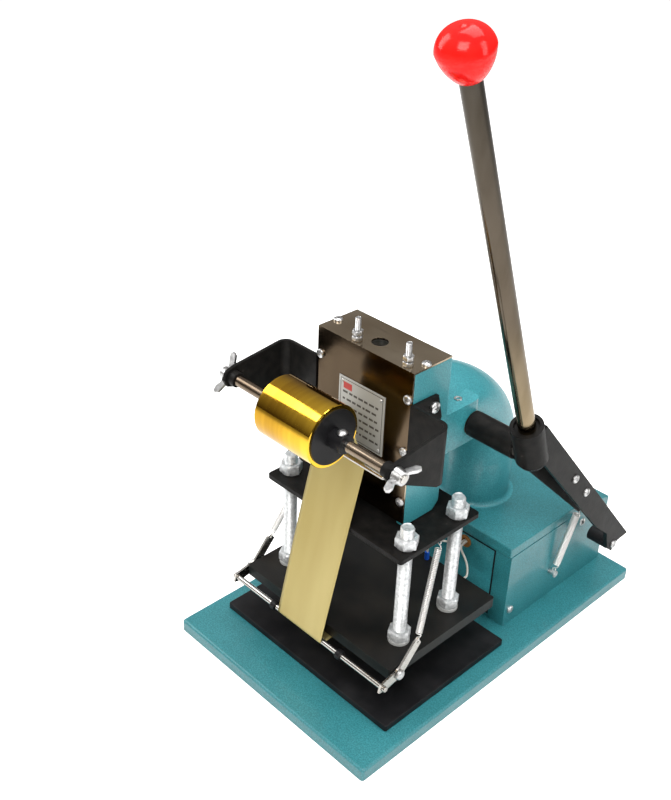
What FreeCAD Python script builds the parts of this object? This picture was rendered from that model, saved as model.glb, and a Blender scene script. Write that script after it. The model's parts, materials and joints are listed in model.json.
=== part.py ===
import FreeCAD, Part
import math
import os
import re
import Sketcher
from FreeCAD import Placement, Rotation, Vector

# Hot foil stamper: a bench press with a cast gooseneck head over a base plate.
# Frame: origin at the centre of the base plate's underside, +X to the operator's
# right, +Y to the back, +Z up. All lengths are millimetres.

doc = FreeCAD.newDocument("foil_stamper")
sheet = doc.addObject("Spreadsheet::Sheet", "sizes")

SIZES = {
    # base plate and work pad
    "base_width": 240, "base_depth": 382, "base_thick": 12, "base_corner": 3, "base_edge": 2.5,
    "pad_width": 207, "pad_depth": 156, "pad_thick": 6.4, "pad_centre": -70, "pad_corner": 2,
    # housing behind the pad
    "housing_width": 176, "housing_front": 27, "housing_back": 183, "housing_wall": 5,
    "housing_top": 94, "lid_front": 25, "lid_thick": 11, "lid_flat_end": 130, "lid_back_top": 89,
    "panel_width": 140, "panel_low": 22, "panel_high": 92, "panel_gap": 2.2, "panel_thick": 3,
    # column, elbow and arm
    "column_centre": 76.6, "column_radius": 33, "elbow_radius": 90, "arm_axis": 238.4,
    "arm_half_width": 44, "arm_half_height": 27.5, "block_half": 50, "block_low": 217,
    "block_high": 256, "block_back": 6,
    # head between the cheeks
    "cheek_outer": 53, "cheek_thick": 8, "cheek_front": -87, "cheek_back": -44,
    "head_low": 168, "head_high": 313, "wall_front": -55.7, "sheet_thick": 1.5, "gib_gap": 0.3,
    # lever shaft and gearing
    "shaft_axis_y": -4, "shaft_axis_z": 234.5, "shaft_radius": 8, "gear_module": 2,
    "gear_teeth": 22, "gear_width": 18, "bush_radius": 11, "running_clearance": 0.05,
    "sleeve_radius": 11.5, "sleeve_end": 98,
    # lever
    "lever_plane": 111.5, "lever_lean": 21.1, "lever_radius": 7.4, "lever_length": 345.5,
    "socket_radius": 13.8, "socket_low": -9.5, "socket_high": 34, "knob_radius": 18.9,
    # crank bar beside the housing
    "bar_inner": 118, "bar_thick": 4, "link_inner": 98.5, "link_thick": 3,
    # ram and plates
    "ram_half": 24, "ram_front": -82, "ram_back": -56, "ram_top": 298,
    "upper_width": 162.4, "upper_front": -119, "upper_back": -21, "upper_low": 161.5,
    "upper_thick": 5, "plate_corner": 3, "heated_width": 182.8, "heated_front": -134, "heated_back": 3,
    "heated_low": 54, "heated_thick": 10.4, "heater_bore": 4.05, "heater_radius": 4,
    # four threaded pillars
    "stud_x": 70, "stud_front": -101, "stud_back": -38, "stud_radius": 6, "stud_top": 186,
    "nut_across": 18, "nut_high": 10,
    # foil roll, shaft and brackets
    "foil_axis_y": -148, "foil_axis_z": 271, "foil_shaft_radius": 3.5, "roll_radius": 26.5,
    "roll_core": 17, "roll_left": -33, "roll_right": 28, "bracket_arm": 91, "bracket_thick": 3,
    "bracket_low": 236, "bracket_high": 287,
    # foil web and sprung guide bar
    "guide_y": -144.5, "guide_z": 54.5, "guide_radius": 2.5, "guide_half": 97.5,
    "pivot_y": -126, "pivot_z": 58, "arm_plane": 92.4, "arm_thick": 2,
    "web_left": -34, "web_width": 56, "web_thick": 0.3, "rod_y": -108, "rod_z": 224,
    "rod_radius": 2,
    # temperature controller on the housing's left side
    "meter_y": 104, "meter_z": 54, "meter_width": 62, "meter_high": 72,
}
for row, (alias, number) in enumerate(SIZES.items(), start=1):
    sheet.set(f"A{row}", alias)
    sheet.set(f"B{row}", str(number))
    sheet.setAlias(f"B{row}", alias)
doc.recompute()

X_AXIS = Vector(1, 0, 0)
Y_AXIS = Vector(0, 1, 0)
Z_AXIS = Vector(0, 0, 1)
ALONG_X = Rotation(Y_AXIS, 90)
ALONG_Y = Rotation(X_AXIS, -90)
UPRIGHT = Rotation()
ALIAS_WORD = re.compile(r"\b[a-z][a-z_]+\b")
subparts = []


def size(alias):
    """The number in a named cell."""
    return float(sheet.get(alias))


def formula(text):
    """An expression in which each alias is read from the sheet."""
    return ALIAS_WORD.sub(lambda word: f"sizes.{word.group()}" if word.group() in SIZES else word.group(),
                          str(text))


def bind(thing, **properties):
    """Tie properties of an object to cells of the sheet."""
    for name, text in properties.items():
        thing.setExpression(name, formula(text))
    return thing


def put(thing, x=0, y=0, z=0, turn=UPRIGHT):
    """Place an object, with its position tied to the sheet."""
    thing.Placement = Placement(Vector(), turn)
    for axis, text in zip("xyz", (x, y, z)):
        thing.setExpression(f".Placement.Base.{axis}", formula(text))
    return thing


def block(x_range, y_range, z_range):
    """A box between two places on each axis."""
    spans = [(formula(low), formula(high)) for low, high in (x_range, y_range, z_range)]
    thing = doc.addObject("Part::Box", "block")
    for name, (low, high) in zip(("Length", "Width", "Height"), spans):
        thing.setExpression(name, f"({high}) - ({low})")
    return put(thing, x_range[0], y_range[0], z_range[0])


def rod(radius, length, x=0, y=0, z=0, turn=UPRIGHT):
    """A cylinder from a place, along the turned Z axis."""
    thing = bind(doc.addObject("Part::Cylinder", "rod"), Radius=radius, Height=length)
    return put(thing, x, y, z, turn)


def nut(across_flats, height, hole, x, y, z, turn=UPRIGHT):
    """A hexagon nut or head, bored where hole is above zero."""
    hexagon = doc.addObject("Part::Prism", "hexagon")
    hexagon.Polygon = 6
    bind(hexagon, Circumradius=f"({across_flats}) / 1.7320508", Height=height)
    put(hexagon, x, y, z, turn)
    if not hole:
        return hexagon
    return cut(hexagon, rod(hole, height, x, y, z, turn))


def fuse(*things):
    """One solid from several that meet."""
    thing = doc.addObject("Part::MultiFuse", "union")
    thing.Shapes = list(things)
    return thing


def cut(stock, *tools):
    """A solid less its tools."""
    thing = doc.addObject("Part::Cut", "cut")
    thing.Base = stock
    thing.Tool = tools[0] if len(tools) == 1 else group(*tools)
    return thing


def group(*things):
    """Separate solids kept together."""
    thing = doc.addObject("Part::Compound", "group")
    thing.Links = list(things)
    return thing


def made(node, shape):
    """A feature whose shape comes from Part's own functions."""
    thing = doc.addObject("Part::Feature", node)
    thing.Shape = shape
    return subpart(node, thing)


def subpart(node, thing):
    """Name a finished piece of the machine."""
    thing.Label = node
    subparts.append(thing)
    return thing


def origin_plane(body, role):
    """A body's own origin plane."""
    return next(plane for plane in body.Origin.OriginFeatures if plane.Role == role)


def plate(node, width, depth, thick, corner, x, y, z, edge=0):
    """A flat plate with rounded corners, as a body with a sketch and a pad."""
    body = doc.addObject("PartDesign::Body", node)
    sketch = body.newObject("Sketcher::SketchObject", f"{node}_outline")
    sketch.AttachmentSupport = [(origin_plane(body, "XY_Plane"), "")]
    sketch.MapMode = "FlatFace"
    corners = [Vector(-1, -1), Vector(1, -1), Vector(1, 1), Vector(-1, 1)]
    for number in range(4):
        sketch.addGeometry(Part.LineSegment(corners[number], corners[(number + 1) % 4]))
    for number in range(4):
        join = (number, 2, (number + 1) % 4, 1)
        sketch.addConstraint(Sketcher.Constraint("Coincident", *join))
    for number, kind in enumerate(("Horizontal", "Vertical", "Horizontal", "Vertical")):
        sketch.addConstraint(Sketcher.Constraint(kind, number))
    sketch.addConstraint(Sketcher.Constraint("Symmetric", 0, 1, 1, 2, -1, 1))
    sketch.addConstraint(Sketcher.Constraint("DistanceX", 0, 1, 0, 2, 2))
    sketch.addConstraint(Sketcher.Constraint("DistanceY", 1, 1, 1, 2, 2))
    sketch.renameConstraint(9, "width")
    sketch.renameConstraint(10, "depth")
    bind(sketch, **{"Constraints.width": width, "Constraints.depth": depth})
    pad = body.newObject("PartDesign::Pad", f"{node}_pad")
    pad.Profile = sketch
    bind(pad, Length=thick)
    doc.recompute()
    rounded = body.newObject("PartDesign::Fillet", f"{node}_corners")
    rounded.Base = (pad, edges_along(pad.Shape, Z_AXIS))
    bind(rounded, Radius=corner)
    doc.recompute()
    if edge:
        eased = body.newObject("PartDesign::Fillet", f"{node}_edge")
        eased.Base = (rounded, edges_at(rounded.Shape, size(thick)))
        bind(eased, Radius=edge)
    put(body, x, y, z)
    return body


def edges_along(shape, direction):
    """Names of a shape's straight edges along a direction."""
    names = []
    for number, edge in enumerate(shape.Edges, start=1):
        straight = isinstance(edge.Curve, Part.Line)
        if straight and abs(abs(edge.tangentAt(edge.FirstParameter) * direction) - 1) < 1e-6:
            names.append(f"Edge{number}")
    return names


def edges_at(shape, height):
    """Names of a shape's edges that lie at a height."""
    return [f"Edge{number}" for number, edge in enumerate(shape.Edges, start=1)
            if all(abs(vertex.Z - height) < 1e-6 for vertex in edge.Vertexes)]


def profile(node, points, thick, x=0, corner=0):
    """A plate cut to an outline in the YZ plane, padded along +X."""
    body = doc.addObject("PartDesign::Body", node)
    sketch = body.newObject("Sketcher::SketchObject", f"{node}_outline")
    sketch.AttachmentSupport = [(origin_plane(body, "YZ_Plane"), "")]
    sketch.MapMode = "FlatFace"
    corners = [Vector(y, z) for y, z in points]
    for number, start in enumerate(corners):
        sketch.addGeometry(Part.LineSegment(start, corners[(number + 1) % len(corners)]))
    for number in range(len(corners)):
        sketch.addConstraint(Sketcher.Constraint("Coincident", number, 2, (number + 1) % len(corners), 1))
    pad = body.newObject("PartDesign::Pad", f"{node}_pad")
    pad.Profile = sketch
    bind(pad, Length=thick)
    doc.recompute()
    if corner:
        rounded = body.newObject("PartDesign::Fillet", f"{node}_corners")
        rounded.Base = (pad, edges_along(pad.Shape, X_AXIS))
        rounded.Radius = corner
        doc.recompute()
    return put(body, x)


def turned(points):
    """A solid turned about the Z axis from (radius, height) points."""
    outline = Part.makePolygon([Vector(radius, 0, height) for radius, height in points + points[:1]])
    return Part.Face(outline).revolve(Vector(), Z_AXIS, 360)


def pan_screw(radius, length):
    """A cross-recessed pan screw, head up, with its bearing face at z = 0."""
    head, high = 2 * radius, 1.3 * radius
    rounded = [(head * math.cos(turn), high * (0.45 + 0.55 * math.sin(turn)))
               for turn in (math.radians(step) for step in range(0, 90, 18))]
    screw = turned([(0, -length), (radius, -length), (radius, 0), (head, 0)] + rounded + [(0, high)])
    slot = Part.makeBox(2.2 * radius, 0.45 * radius, high,
                        Vector(-1.1 * radius, -0.225 * radius, 0.45 * high))
    crossed = slot.rotated(Vector(), Z_AXIS, 90)
    return screw.cut(slot.fuse(crossed))


FACE_FRONT = Rotation(X_AXIS, 90)
FACE_RIGHT = Rotation(Y_AXIS, 90)
FACE_LEFT = Rotation(Y_AXIS, -90)

# ---- Base plate and work pad ------------------------------------------------
subpart("base_plate", plate("base_plate", "base_width", "base_depth", "base_thick", "base_corner",
                            0, 0, 0, "base_edge"))
subpart("work_pad", plate("work_pad", "pad_width", "pad_depth", "pad_thick", "pad_corner",
                          0, "pad_centre", "base_thick"))

# ---- Housing: shell, lid, inset front panel ----------------------------------
front, back = size("housing_front"), size("housing_back")
lid_drop = size("housing_top") + size("lid_thick") - size("lid_back_top")
shell_back_top = size("housing_top") - lid_drop
side_outline = [(front, size("base_thick")), (back, size("base_thick")), (back, shell_back_top),
                (size("lid_flat_end"), size("housing_top")), (front, size("housing_top"))]
outer = profile("housing_block", side_outline, "housing_width", "-housing_width / 2", 1.5)
hollow = block(("-housing_width / 2 + housing_wall", "housing_width / 2 - housing_wall"),
               ("housing_front + housing_wall", "housing_back - housing_wall"),
               ("base_thick - 1", "housing_top + 1"))
doorway = block(("-panel_width / 2", "panel_width / 2"),
                ("housing_front - 1", "housing_front + housing_wall + 1"),
                ("base_thick + 3", "panel_high"))
meter_hole = block(("-housing_width / 2 - 1", "-housing_width / 2 + housing_wall + 1"),
                   ("meter_y - meter_width / 2 + 3", "meter_y + meter_width / 2 - 3"),
                   ("meter_z - meter_high / 2 + 3", "meter_z + meter_high / 2 - 3"))
SWITCH_Y, SWITCH_Z = 157, 44
switch_hole = block(("-housing_width / 2 - 1", "-housing_width / 2 + housing_wall + 1"),
                    (SWITCH_Y - 7, SWITCH_Y + 7), (SWITCH_Z - 10, SWITCH_Z + 10))
GLAND_X, GLAND_Z, GLAND_RADIUS = -50, 34, 7
gland_hole = rod(GLAND_RADIUS, "housing_wall + 2", GLAND_X, "housing_back - housing_wall - 1", GLAND_Z,
                 ALONG_Y)
SIDE_SCREWS = [(35, 29), (137.8, 80)]
ANCHOR = (93.8, 42.8)
side_holes = [rod(2, "housing_wall + 2", "housing_width / 2 - housing_wall - 1", y, z, ALONG_X)
              for y, z in SIDE_SCREWS]
anchor_hole = rod(2.2, "housing_wall + 2", "housing_width / 2 - housing_wall - 1", *ANCHOR, ALONG_X)
subpart("housing_shell", cut(outer, hollow, doorway, meter_hole, switch_hole, gland_hole, anchor_hole,
                             *side_holes))

lid_outline = [(size("lid_front"), size("housing_top")), (size("lid_flat_end"), size("housing_top")),
               (back, shell_back_top), (back, size("lid_back_top")),
               (size("lid_flat_end"), size("housing_top") + size("lid_thick")),
               (size("lid_front"), size("housing_top") + size("lid_thick"))]
subpart("housing_lid", profile("housing_lid", lid_outline, "housing_width", "-housing_width / 2"))

GROMMET_X, GROMMET_Z, GROMMET_RADIUS = 34, 82, 4.5
panel_block = block(("-panel_width / 2 + panel_gap", "panel_width / 2 - panel_gap"),
                    ("housing_front + 1", "housing_front + 1 + panel_thick"),
                    ("base_thick + 3 + panel_gap", "panel_high - panel_gap"))
grommet_bore = rod(GROMMET_RADIUS, 20, GROMMET_X, "housing_front - 5", GROMMET_Z, ALONG_Y)
subpart("front_panel", cut(panel_block, grommet_bore))
gasket_block = block(("-panel_width / 2", "panel_width / 2"), ("housing_front + 0.6", "housing_front + 3.4"),
                     ("base_thick + 3", "panel_high"))
gasket_inside = block(("-panel_width / 2 + panel_gap", "panel_width / 2 - panel_gap"),
                      ("housing_front", "housing_front + 5"),
                      ("base_thick + 3 + panel_gap", "panel_high - panel_gap"))
grommet_stock = fuse(rod(GROMMET_RADIUS, "panel_thick", GROMMET_X, "housing_front + 1", GROMMET_Z, ALONG_Y),
                     rod(GROMMET_RADIUS + 1.8, 1.4, GROMMET_X, "housing_front - 0.4", GROMMET_Z, ALONG_Y),
                     rod(GROMMET_RADIUS + 1.8, 1.4, GROMMET_X, "housing_front + 1 + panel_thick", GROMMET_Z,
                         ALONG_Y))
lead_bore = rod(3.2, 20, GROMMET_X, "housing_front - 5", GROMMET_Z, ALONG_Y)
subpart("panel_seals", group(cut(gasket_block, gasket_inside), cut(grommet_stock, lead_bore)))
side = size("housing_width") / 2
pan_heads = [(2, 4.5, (side, y, z), FACE_RIGHT) for y, z in SIDE_SCREWS]

# ---- Column, elbow, arm and head wall: one iron casting -----------------------
column_y, elbow = size("column_centre"), size("elbow_radius")
arm_z, arm_start = size("arm_axis"), size("column_centre") - size("elbow_radius")


def arm_section(y, z, lean, half_width, half_height):
    """An elliptical section of the arm, square to its leaning centre line."""
    circle = Part.makeCircle(1, Vector(), Z_AXIS).toNurbs()
    shape = Part.Wire(circle.Edges)
    scale = FreeCAD.Matrix()
    scale.scale(half_width, half_height, 1)
    section = shape.transformGeometry(scale)
    section.Placement = Placement(Vector(0, y, z), Rotation(X_AXIS, 90 - lean))
    return section


ELBOW_STEPS = 8
sections = [arm_section(size("cheek_back") + 4, arm_z, 0, size("arm_half_width"), size("arm_half_height"))]
for step in range(ELBOW_STEPS + 1):
    share = step / ELBOW_STEPS
    bend = math.radians(90 * share)
    sections.append(arm_section(
        arm_start + elbow * math.sin(bend), arm_z - elbow + elbow * math.cos(bend), 90 * share,
        size("arm_half_width") + (size("column_radius") - size("arm_half_width")) * share,
        size("arm_half_height") + (size("column_radius") - size("arm_half_height")) * share))
arm_shape = Part.makeLoft(sections, True, False)
arm = doc.addObject("Part::Feature", "arm")
arm.Shape = arm_shape
lid_top = size("housing_top") + size("lid_thick")
column = rod("column_radius", "arm_axis - elbow_radius - housing_top - lid_thick + 0.5", 0, "column_centre",
             "housing_top + lid_thick")
FOOT_RADIUS = 5
foot = doc.addObject("Part::Feature", "foot")
foot_points = [(size("column_radius") - 1, 0), (size("column_radius") + FOOT_RADIUS, 0)]
foot_points += [(size("column_radius") + FOOT_RADIUS * (1 - math.sin(turn)),
                 FOOT_RADIUS * (1 - math.cos(turn)))
                for turn in (math.radians(step) for step in range(15, 91, 15))]
foot.Shape = turned(foot_points + [(size("column_radius") - 1, FOOT_RADIUS)])
put(foot, 0, "column_centre", "housing_top + lid_thick")
shaft_block = block(("-block_half", "block_half"), ("cheek_back", "block_back"), ("block_low", "block_high"))
rounded_block = doc.addObject("Part::Fillet", "rounded_block")
rounded_block.Base = shaft_block
doc.recompute()
BLOCK_ROUND = 9
rounded_block.Edges = [(number, BLOCK_ROUND, BLOCK_ROUND)
                       for number, edge in enumerate(shaft_block.Shape.Edges, start=1)
                       if all(abs(v.Y - size("block_back")) < 1e-6 and abs(v.X) > 1 for v in edge.Vertexes)
                       and abs(edge.Vertexes[0].Z - edge.Vertexes[1].Z) > 1]
head_wall = block(("-cheek_outer + cheek_thick", "cheek_outer - cheek_thick"),
                  ("wall_front", "cheek_back + 5"),
                  ("head_low + 4", "head_high - 10"))
gear_space = rod("gear_module * (gear_teeth + 2) / 2 + 1", "gear_width + 3", "-gear_width / 2 - 1.5",
                 "shaft_axis_y", "shaft_axis_z", ALONG_X)
rack_slot = block(("-gear_width / 2 - 1.5", "gear_width / 2 + 1.5"), ("wall_front - 1", "shaft_axis_y - 18"),
                  ("head_low", "head_high + 1"))
shaft_bore = rod("bush_radius", "4 * block_half", "-2 * block_half", "shaft_axis_y", "shaft_axis_z", ALONG_X)
subpart("head_casting", cut(fuse(arm, column, foot, rounded_block, head_wall),
                            gear_space, rack_slot, shaft_bore))
BUSH_LENGTH = 22
subpart("shaft_bushes", group(*[
    cut(rod("bush_radius", BUSH_LENGTH, start, "shaft_axis_y", "shaft_axis_z", ALONG_X),
        rod("shaft_radius + running_clearance", BUSH_LENGTH, start, "shaft_axis_y", "shaft_axis_z", ALONG_X))
    for start in ("-block_half", f"block_half - {BUSH_LENGTH}")]))

# ---- Head: cheeks, top plate, gibs, cover and name plate -----------------------
cheek_outline = [(size("cheek_front"), size("head_low")), (size("cheek_back") - 7, size("head_low")),
                 (size("cheek_back"), size("head_low") + 7), (size("cheek_back"), size("head_high")),
                 (size("cheek_front"), size("head_high"))]
subpart("head_cheeks", group(*[profile("cheek", cheek_outline, "cheek_thick", start)
                               for start in ("cheek_outer - cheek_thick", "-cheek_outer")]))
inside = ("-cheek_outer + cheek_thick", "cheek_outer - cheek_thick")
SIGHT_Y, SIGHT_RADIUS = -71, 7
ADJUSTER_PLACES = [(-14.5, -82), (40.5, -82)]
top_block = block(inside, ("cheek_front", "wall_front"), ("head_high - 10", "head_high"))
subpart("head_top", cut(top_block, rod(SIGHT_RADIUS, 12, 0, SIGHT_Y, "head_high - 11"),
                        *[rod(2.5, 12, x, y, "head_high - 11") for x, y in ADJUSTER_PLACES]))
gibs = [block((low, high), ("ram_front + gib_gap", "wall_front"), ("head_low + 17", "head_high - 13"))
        for low, high in (("-cheek_outer + cheek_thick", "-ram_half - gib_gap"),
                          ("ram_half + gib_gap", "cheek_outer - cheek_thick"))]
front_gib = block(inside, ("cheek_front", "ram_front - gib_gap"), ("head_low + 17", "head_high - 10"))
subpart("ram_gibs", group(front_gib, *gibs))
cover_front = block(("-cheek_outer", "cheek_outer"), ("cheek_front - sheet_thick", "cheek_front"),
                    ("head_low + 4", "head_high + sheet_thick"))
cover_top = block(("-cheek_outer", "cheek_outer"), ("cheek_front - sheet_thick", "cheek_back"),
                  ("head_high", "head_high + sheet_thick"))
subpart("head_cover", cut(fuse(cover_front, cover_top),
                          rod(SIGHT_RADIUS, 4, 0, SIGHT_Y, "head_high - 1"),
                          *[rod(3, 4, x, y, "head_high - 1") for x, y in ADJUSTER_PLACES],
                          *[rod(2, 6, x, "cheek_front - 5", z, ALONG_Y) for x in (-49, 49)
                            for z in (192.5, 241.5, 290)],
                          *[rod(2, 4, x, -70, "head_high - 1") for x in (-49, 49)]))
sheet_front = size("cheek_front") - size("sheet_thick")
sheet_top = size("head_high") + size("sheet_thick")
pan_heads += [(2, 1.5, (x, sheet_front, z), FACE_FRONT) for x in (-49, 49) for z in (192.5, 241.5, 290)]
pan_heads += [(2, 1.5, (x, -70, sheet_top), UPRIGHT) for x in (-49, 49)]
adjuster_studs = [rod(2.5, 32, x, y, "head_high - 10") for x, y in ADJUSTER_PLACES]
adjuster_nuts = [nut(8, 4, 2.5, x, y, f"head_high + sheet_thick + {lift}")
                 for x, y in ADJUSTER_PLACES for lift in (0, 5)]
subpart("adjusters", group(*adjuster_studs, *adjuster_nuts))
subpart("name_plate", block((-26, 26), ("cheek_front - sheet_thick - 0.8", "cheek_front - sheet_thick"),
                            (225, 281)))

# ---- Foil brackets, shaft, wing nuts and web rod -------------------------------
foil_y, foil_z = size("foil_axis_y"), size("foil_axis_z")
EYE_RADIUS = 9.5
low, high = size("bracket_low"), size("bracket_high")
cheek_front = size("cheek_front")
arm_outline = [(cheek_front + 1, high), (cheek_front - 3, high), (foil_y + 2, foil_z + EYE_RADIUS),
               (foil_y - 6, foil_z + 7), (foil_y - EYE_RADIUS, foil_z), (foil_y - 6, foil_z - 7),
               (foil_y + 1, foil_z - EYE_RADIUS), (cheek_front - 13, low + 1), (cheek_front + 1, low)]
flange_outline = [(cheek_front - 3, high), (-60, high - 0.5), (-54, high - 23), (-60, low + 14),
                  (cheek_front - 3, low)]
BRACKET_SCREWS = [(-64.6, 277), (-70, 250)]
BEND_RADIUS, ARM_REACH = 10, 75


def upright_edge(shape, x, y):
    """A shape's upright edge at a place in plan."""
    return next(edge for edge in shape.Edges
                if all(abs(vertex.X - x) < 1e-6 and abs(vertex.Y - y) < 1e-6 for vertex in edge.Vertexes))


def foil_bracket():
    """The right-hand bracket: flange on the cheek, cross plate and bent arm with the shaft's eye."""
    flange = profile("bracket_flange", flange_outline, "bracket_thick", "cheek_outer")
    side_view = profile("bracket_side", arm_outline, "bracket_arm + 10 - cheek_outer", "cheek_outer")
    doc.recompute()
    thick, inner = size("bracket_thick"), size("bracket_arm")
    inside_wall = size("cheek_outer")
    cross = Part.makeBox(inner + thick - inside_wall, thick, high - low,
                         Vector(inside_wall, cheek_front - thick, low))
    straight_arm = Part.makeBox(thick, ARM_REACH, high - low, Vector(inner, cheek_front - ARM_REACH, low))
    bent = cross.fuse(straight_arm).removeSplitter()
    bent = bent.makeFillet(BEND_RADIUS, [upright_edge(bent, inner + thick, cheek_front)])
    bent = bent.makeFillet(BEND_RADIUS - thick, [upright_edge(bent, inner, cheek_front - thick)])
    bore = Part.makeCylinder(size("foil_shaft_radius"), 8, Vector(inner - 2, foil_y, foil_z), X_AXIS)
    screw_holes = [Part.makeCylinder(2.5, 8, Vector(inside_wall - 2, y, z), X_AXIS)
                   for y, z in BRACKET_SCREWS]
    whole = bent.common(side_view.Shape).fuse(flange.Shape).removeSplitter()
    return whole.cut([bore, *screw_holes])


bracket = foil_bracket()
made("foil_brackets", Part.makeCompound([bracket, bracket.mirror(Vector(), X_AXIS)]))
outside = size("cheek_outer") + size("bracket_thick")
for direction, turn in ((1, FACE_RIGHT), (-1, FACE_LEFT)):
    pan_heads += [(2.5, 3, (direction * outside, y, z), turn) for y, z in BRACKET_SCREWS]
placed_screws = []
for radius, length, place, turn in pan_heads:
    screw = pan_screw(radius, length)
    screw.Placement = Placement(Vector(*place), turn)
    placed_screws.append(screw)
made("pan_screws", Part.makeCompound(placed_screws))
SHAFT_HALF = 103
subpart("foil_shaft", rod("foil_shaft_radius", 2 * SHAFT_HALF, -SHAFT_HALF, "foil_axis_y", "foil_axis_z",
                          ALONG_X))
SPACERS = [(4.8, -83.7, -51), (4.8, 46, 83.7), (6.5, -90.7, -83.7), (6.5, 83.7, 90.7)]
subpart("shaft_spacers", group(*[
    cut(rod(radius, end - start, start, "foil_axis_y", "foil_axis_z", ALONG_X),
        rod("foil_shaft_radius", end - start, start, "foil_axis_y", "foil_axis_z", ALONG_X))
    for radius, start, end in SPACERS]))


def wing_nut(direction, roll):
    """A wing nut on the shaft's end: a tapered hub and two opposite wings that flare outwards."""
    half = 1.3
    hub = Part.makeCone(7, 5.5, 7.5, Vector(), Z_AXIS)
    outline = [Vector(4, -half, 0.6), Vector(10, -half, 1), Vector(17, -half, 4), Vector(18.6, -half, 7.4),
               Vector(17, -half, 9.4), Vector(13, -half, 9), Vector(8, -half, 6), Vector(4, -half, 5.6)]
    wing = Part.Face(Part.makePolygon(outline + outline[:1])).extrude(Vector(0, 2 * half, 0))
    whole = hub.fuse([wing, wing.rotated(Vector(), Z_AXIS, 180)]).removeSplitter()
    whole = whole.cut(Part.makeCylinder(size("foil_shaft_radius") + size("running_clearance"), 30,
                                        Vector(0, 0, -5), Z_AXIS))
    face = size("bracket_arm") + size("bracket_thick") + 0.3
    whole.Placement = Placement(Vector(direction * face, foil_y, foil_z),
                                Rotation(X_AXIS, roll).multiply(Rotation(Y_AXIS, 90 * direction)))
    return whole


made("wing_nut_right", wing_nut(1, 96))
made("wing_nut_left", wing_nut(-1, 145))
ROD_HALF = 46
rod_y, rod_z, rod_radius = size("rod_y"), size("rod_z"), size("rod_radius")
corner_balls = [Part.makeSphere(rod_radius, Vector(x, rod_y, rod_z)) for x in (-ROD_HALF, ROD_HALF)]
returns = [Part.makeCylinder(rod_radius, sheet_front - rod_y, Vector(x, rod_y, rod_z), Y_AXIS)
           for x in (-ROD_HALF, ROD_HALF)]
straight = Part.makeCylinder(rod_radius, 2 * ROD_HALF, Vector(-ROD_HALF, rod_y, rod_z), X_AXIS)
made("web_rod", straight.fuse(corner_balls + returns).removeSplitter())

# ---- Foil roll on its core, between two black plugs ----------------------------
roll_length = "roll_right - roll_left"
roll_stock = rod("roll_radius", roll_length, "roll_left", "foil_axis_y", "foil_axis_z", ALONG_X)
core_space = rod("roll_core", roll_length, "roll_left", "foil_axis_y", "foil_axis_z", ALONG_X)
subpart("foil_roll", cut(roll_stock, core_space))
core_stock = rod("roll_core", roll_length, "roll_left", "foil_axis_y", "foil_axis_z", ALONG_X)
core_inside = rod("roll_core - 2", roll_length, "roll_left", "foil_axis_y", "foil_axis_z", ALONG_X)
subpart("roll_core", cut(core_stock, core_inside))
FLANGE_RADIUS, FLANGE_THICK, HUB_RADIUS, HUB_LENGTH, PLUG_LENGTH = 23.4, 1.2, 8, 13.8, 10
flanges = []
for end, direction in ((size("roll_left"), -1), (size("roll_right"), 1)):
    along = Vector(direction, 0, 0)
    disc = Part.makeCylinder(FLANGE_RADIUS, FLANGE_THICK, Vector(end, foil_y, foil_z), along)
    hub = Part.makeCylinder(HUB_RADIUS, HUB_LENGTH + FLANGE_THICK, Vector(end, foil_y, foil_z), along)
    plug = Part.makeCylinder(size("roll_core") - 2, PLUG_LENGTH, Vector(end, foil_y, foil_z), along * -1)
    bore = Part.makeCylinder(size("foil_shaft_radius") + size("running_clearance"), 60,
                             Vector(end - direction * 30, foil_y, foil_z), along)
    screw_hole = Part.makeCylinder(2, 12, Vector(end + direction * 10, foil_y, foil_z), Z_AXIS)
    flange = disc.fuse([hub, plug]).removeSplitter().cut(bore).cut(screw_hole)
    flanges.append(flange)
made("roll_flanges", Part.makeCompound(flanges))
set_screws = []
for end, direction in ((size("roll_left"), -1), (size("roll_right"), 1)):
    screw = pan_screw(2, 4.5)
    screw.Placement = Placement(Vector(end + direction * 10, foil_y, foil_z + HUB_RADIUS), UPRIGHT)
    set_screws.append(screw)
made("flange_screws", Part.makeCompound(set_screws))

# ---- Ram with its rack, and the lever shaft with its pinion ---------------------
module, teeth = size("gear_module"), size("gear_teeth")
pitch_radius = module * teeth / 2
axis_y, axis_z = size("shaft_axis_y"), size("shaft_axis_z")
BACKLASH = 0.2


def gear_tooth_profile():
    """Half-widths of a tooth at root, pitch and tip, by the 20 degree rack rule."""
    half_pitch = math.pi * module / 4 - BACKLASH
    slope = math.tan(math.radians(20))
    return half_pitch + 1.2 * module * slope, half_pitch, half_pitch - 0.9 * module * slope


def pinion():
    """A spur pinion with straight-flanked teeth, one tooth space facing the rack."""
    root, tip = pitch_radius - 1.25 * module, pitch_radius + 0.9 * module
    root_half, pitch_half, tip_half = gear_tooth_profile()
    outline = []
    for tooth in range(int(teeth)):
        centre = 2 * math.pi * (tooth + 0.5) / teeth
        for half, radius in ((-root_half, root), (-pitch_half, pitch_radius), (-tip_half, tip),
                             (tip_half, tip), (pitch_half, pitch_radius), (root_half, root)):
            turn = centre + half * (0.86 if radius == tip else 1) / radius
            outline.append(Vector(0, -radius * math.cos(turn), radius * math.sin(turn)))
    gear = Part.Face(Part.makePolygon(outline + outline[:1])).extrude(Vector(size("gear_width"), 0, 0))
    gear.translate(Vector(-size("gear_width") / 2, axis_y, axis_z))
    return gear


RACK_LOW, RACK_HIGH = 212, 284


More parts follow.
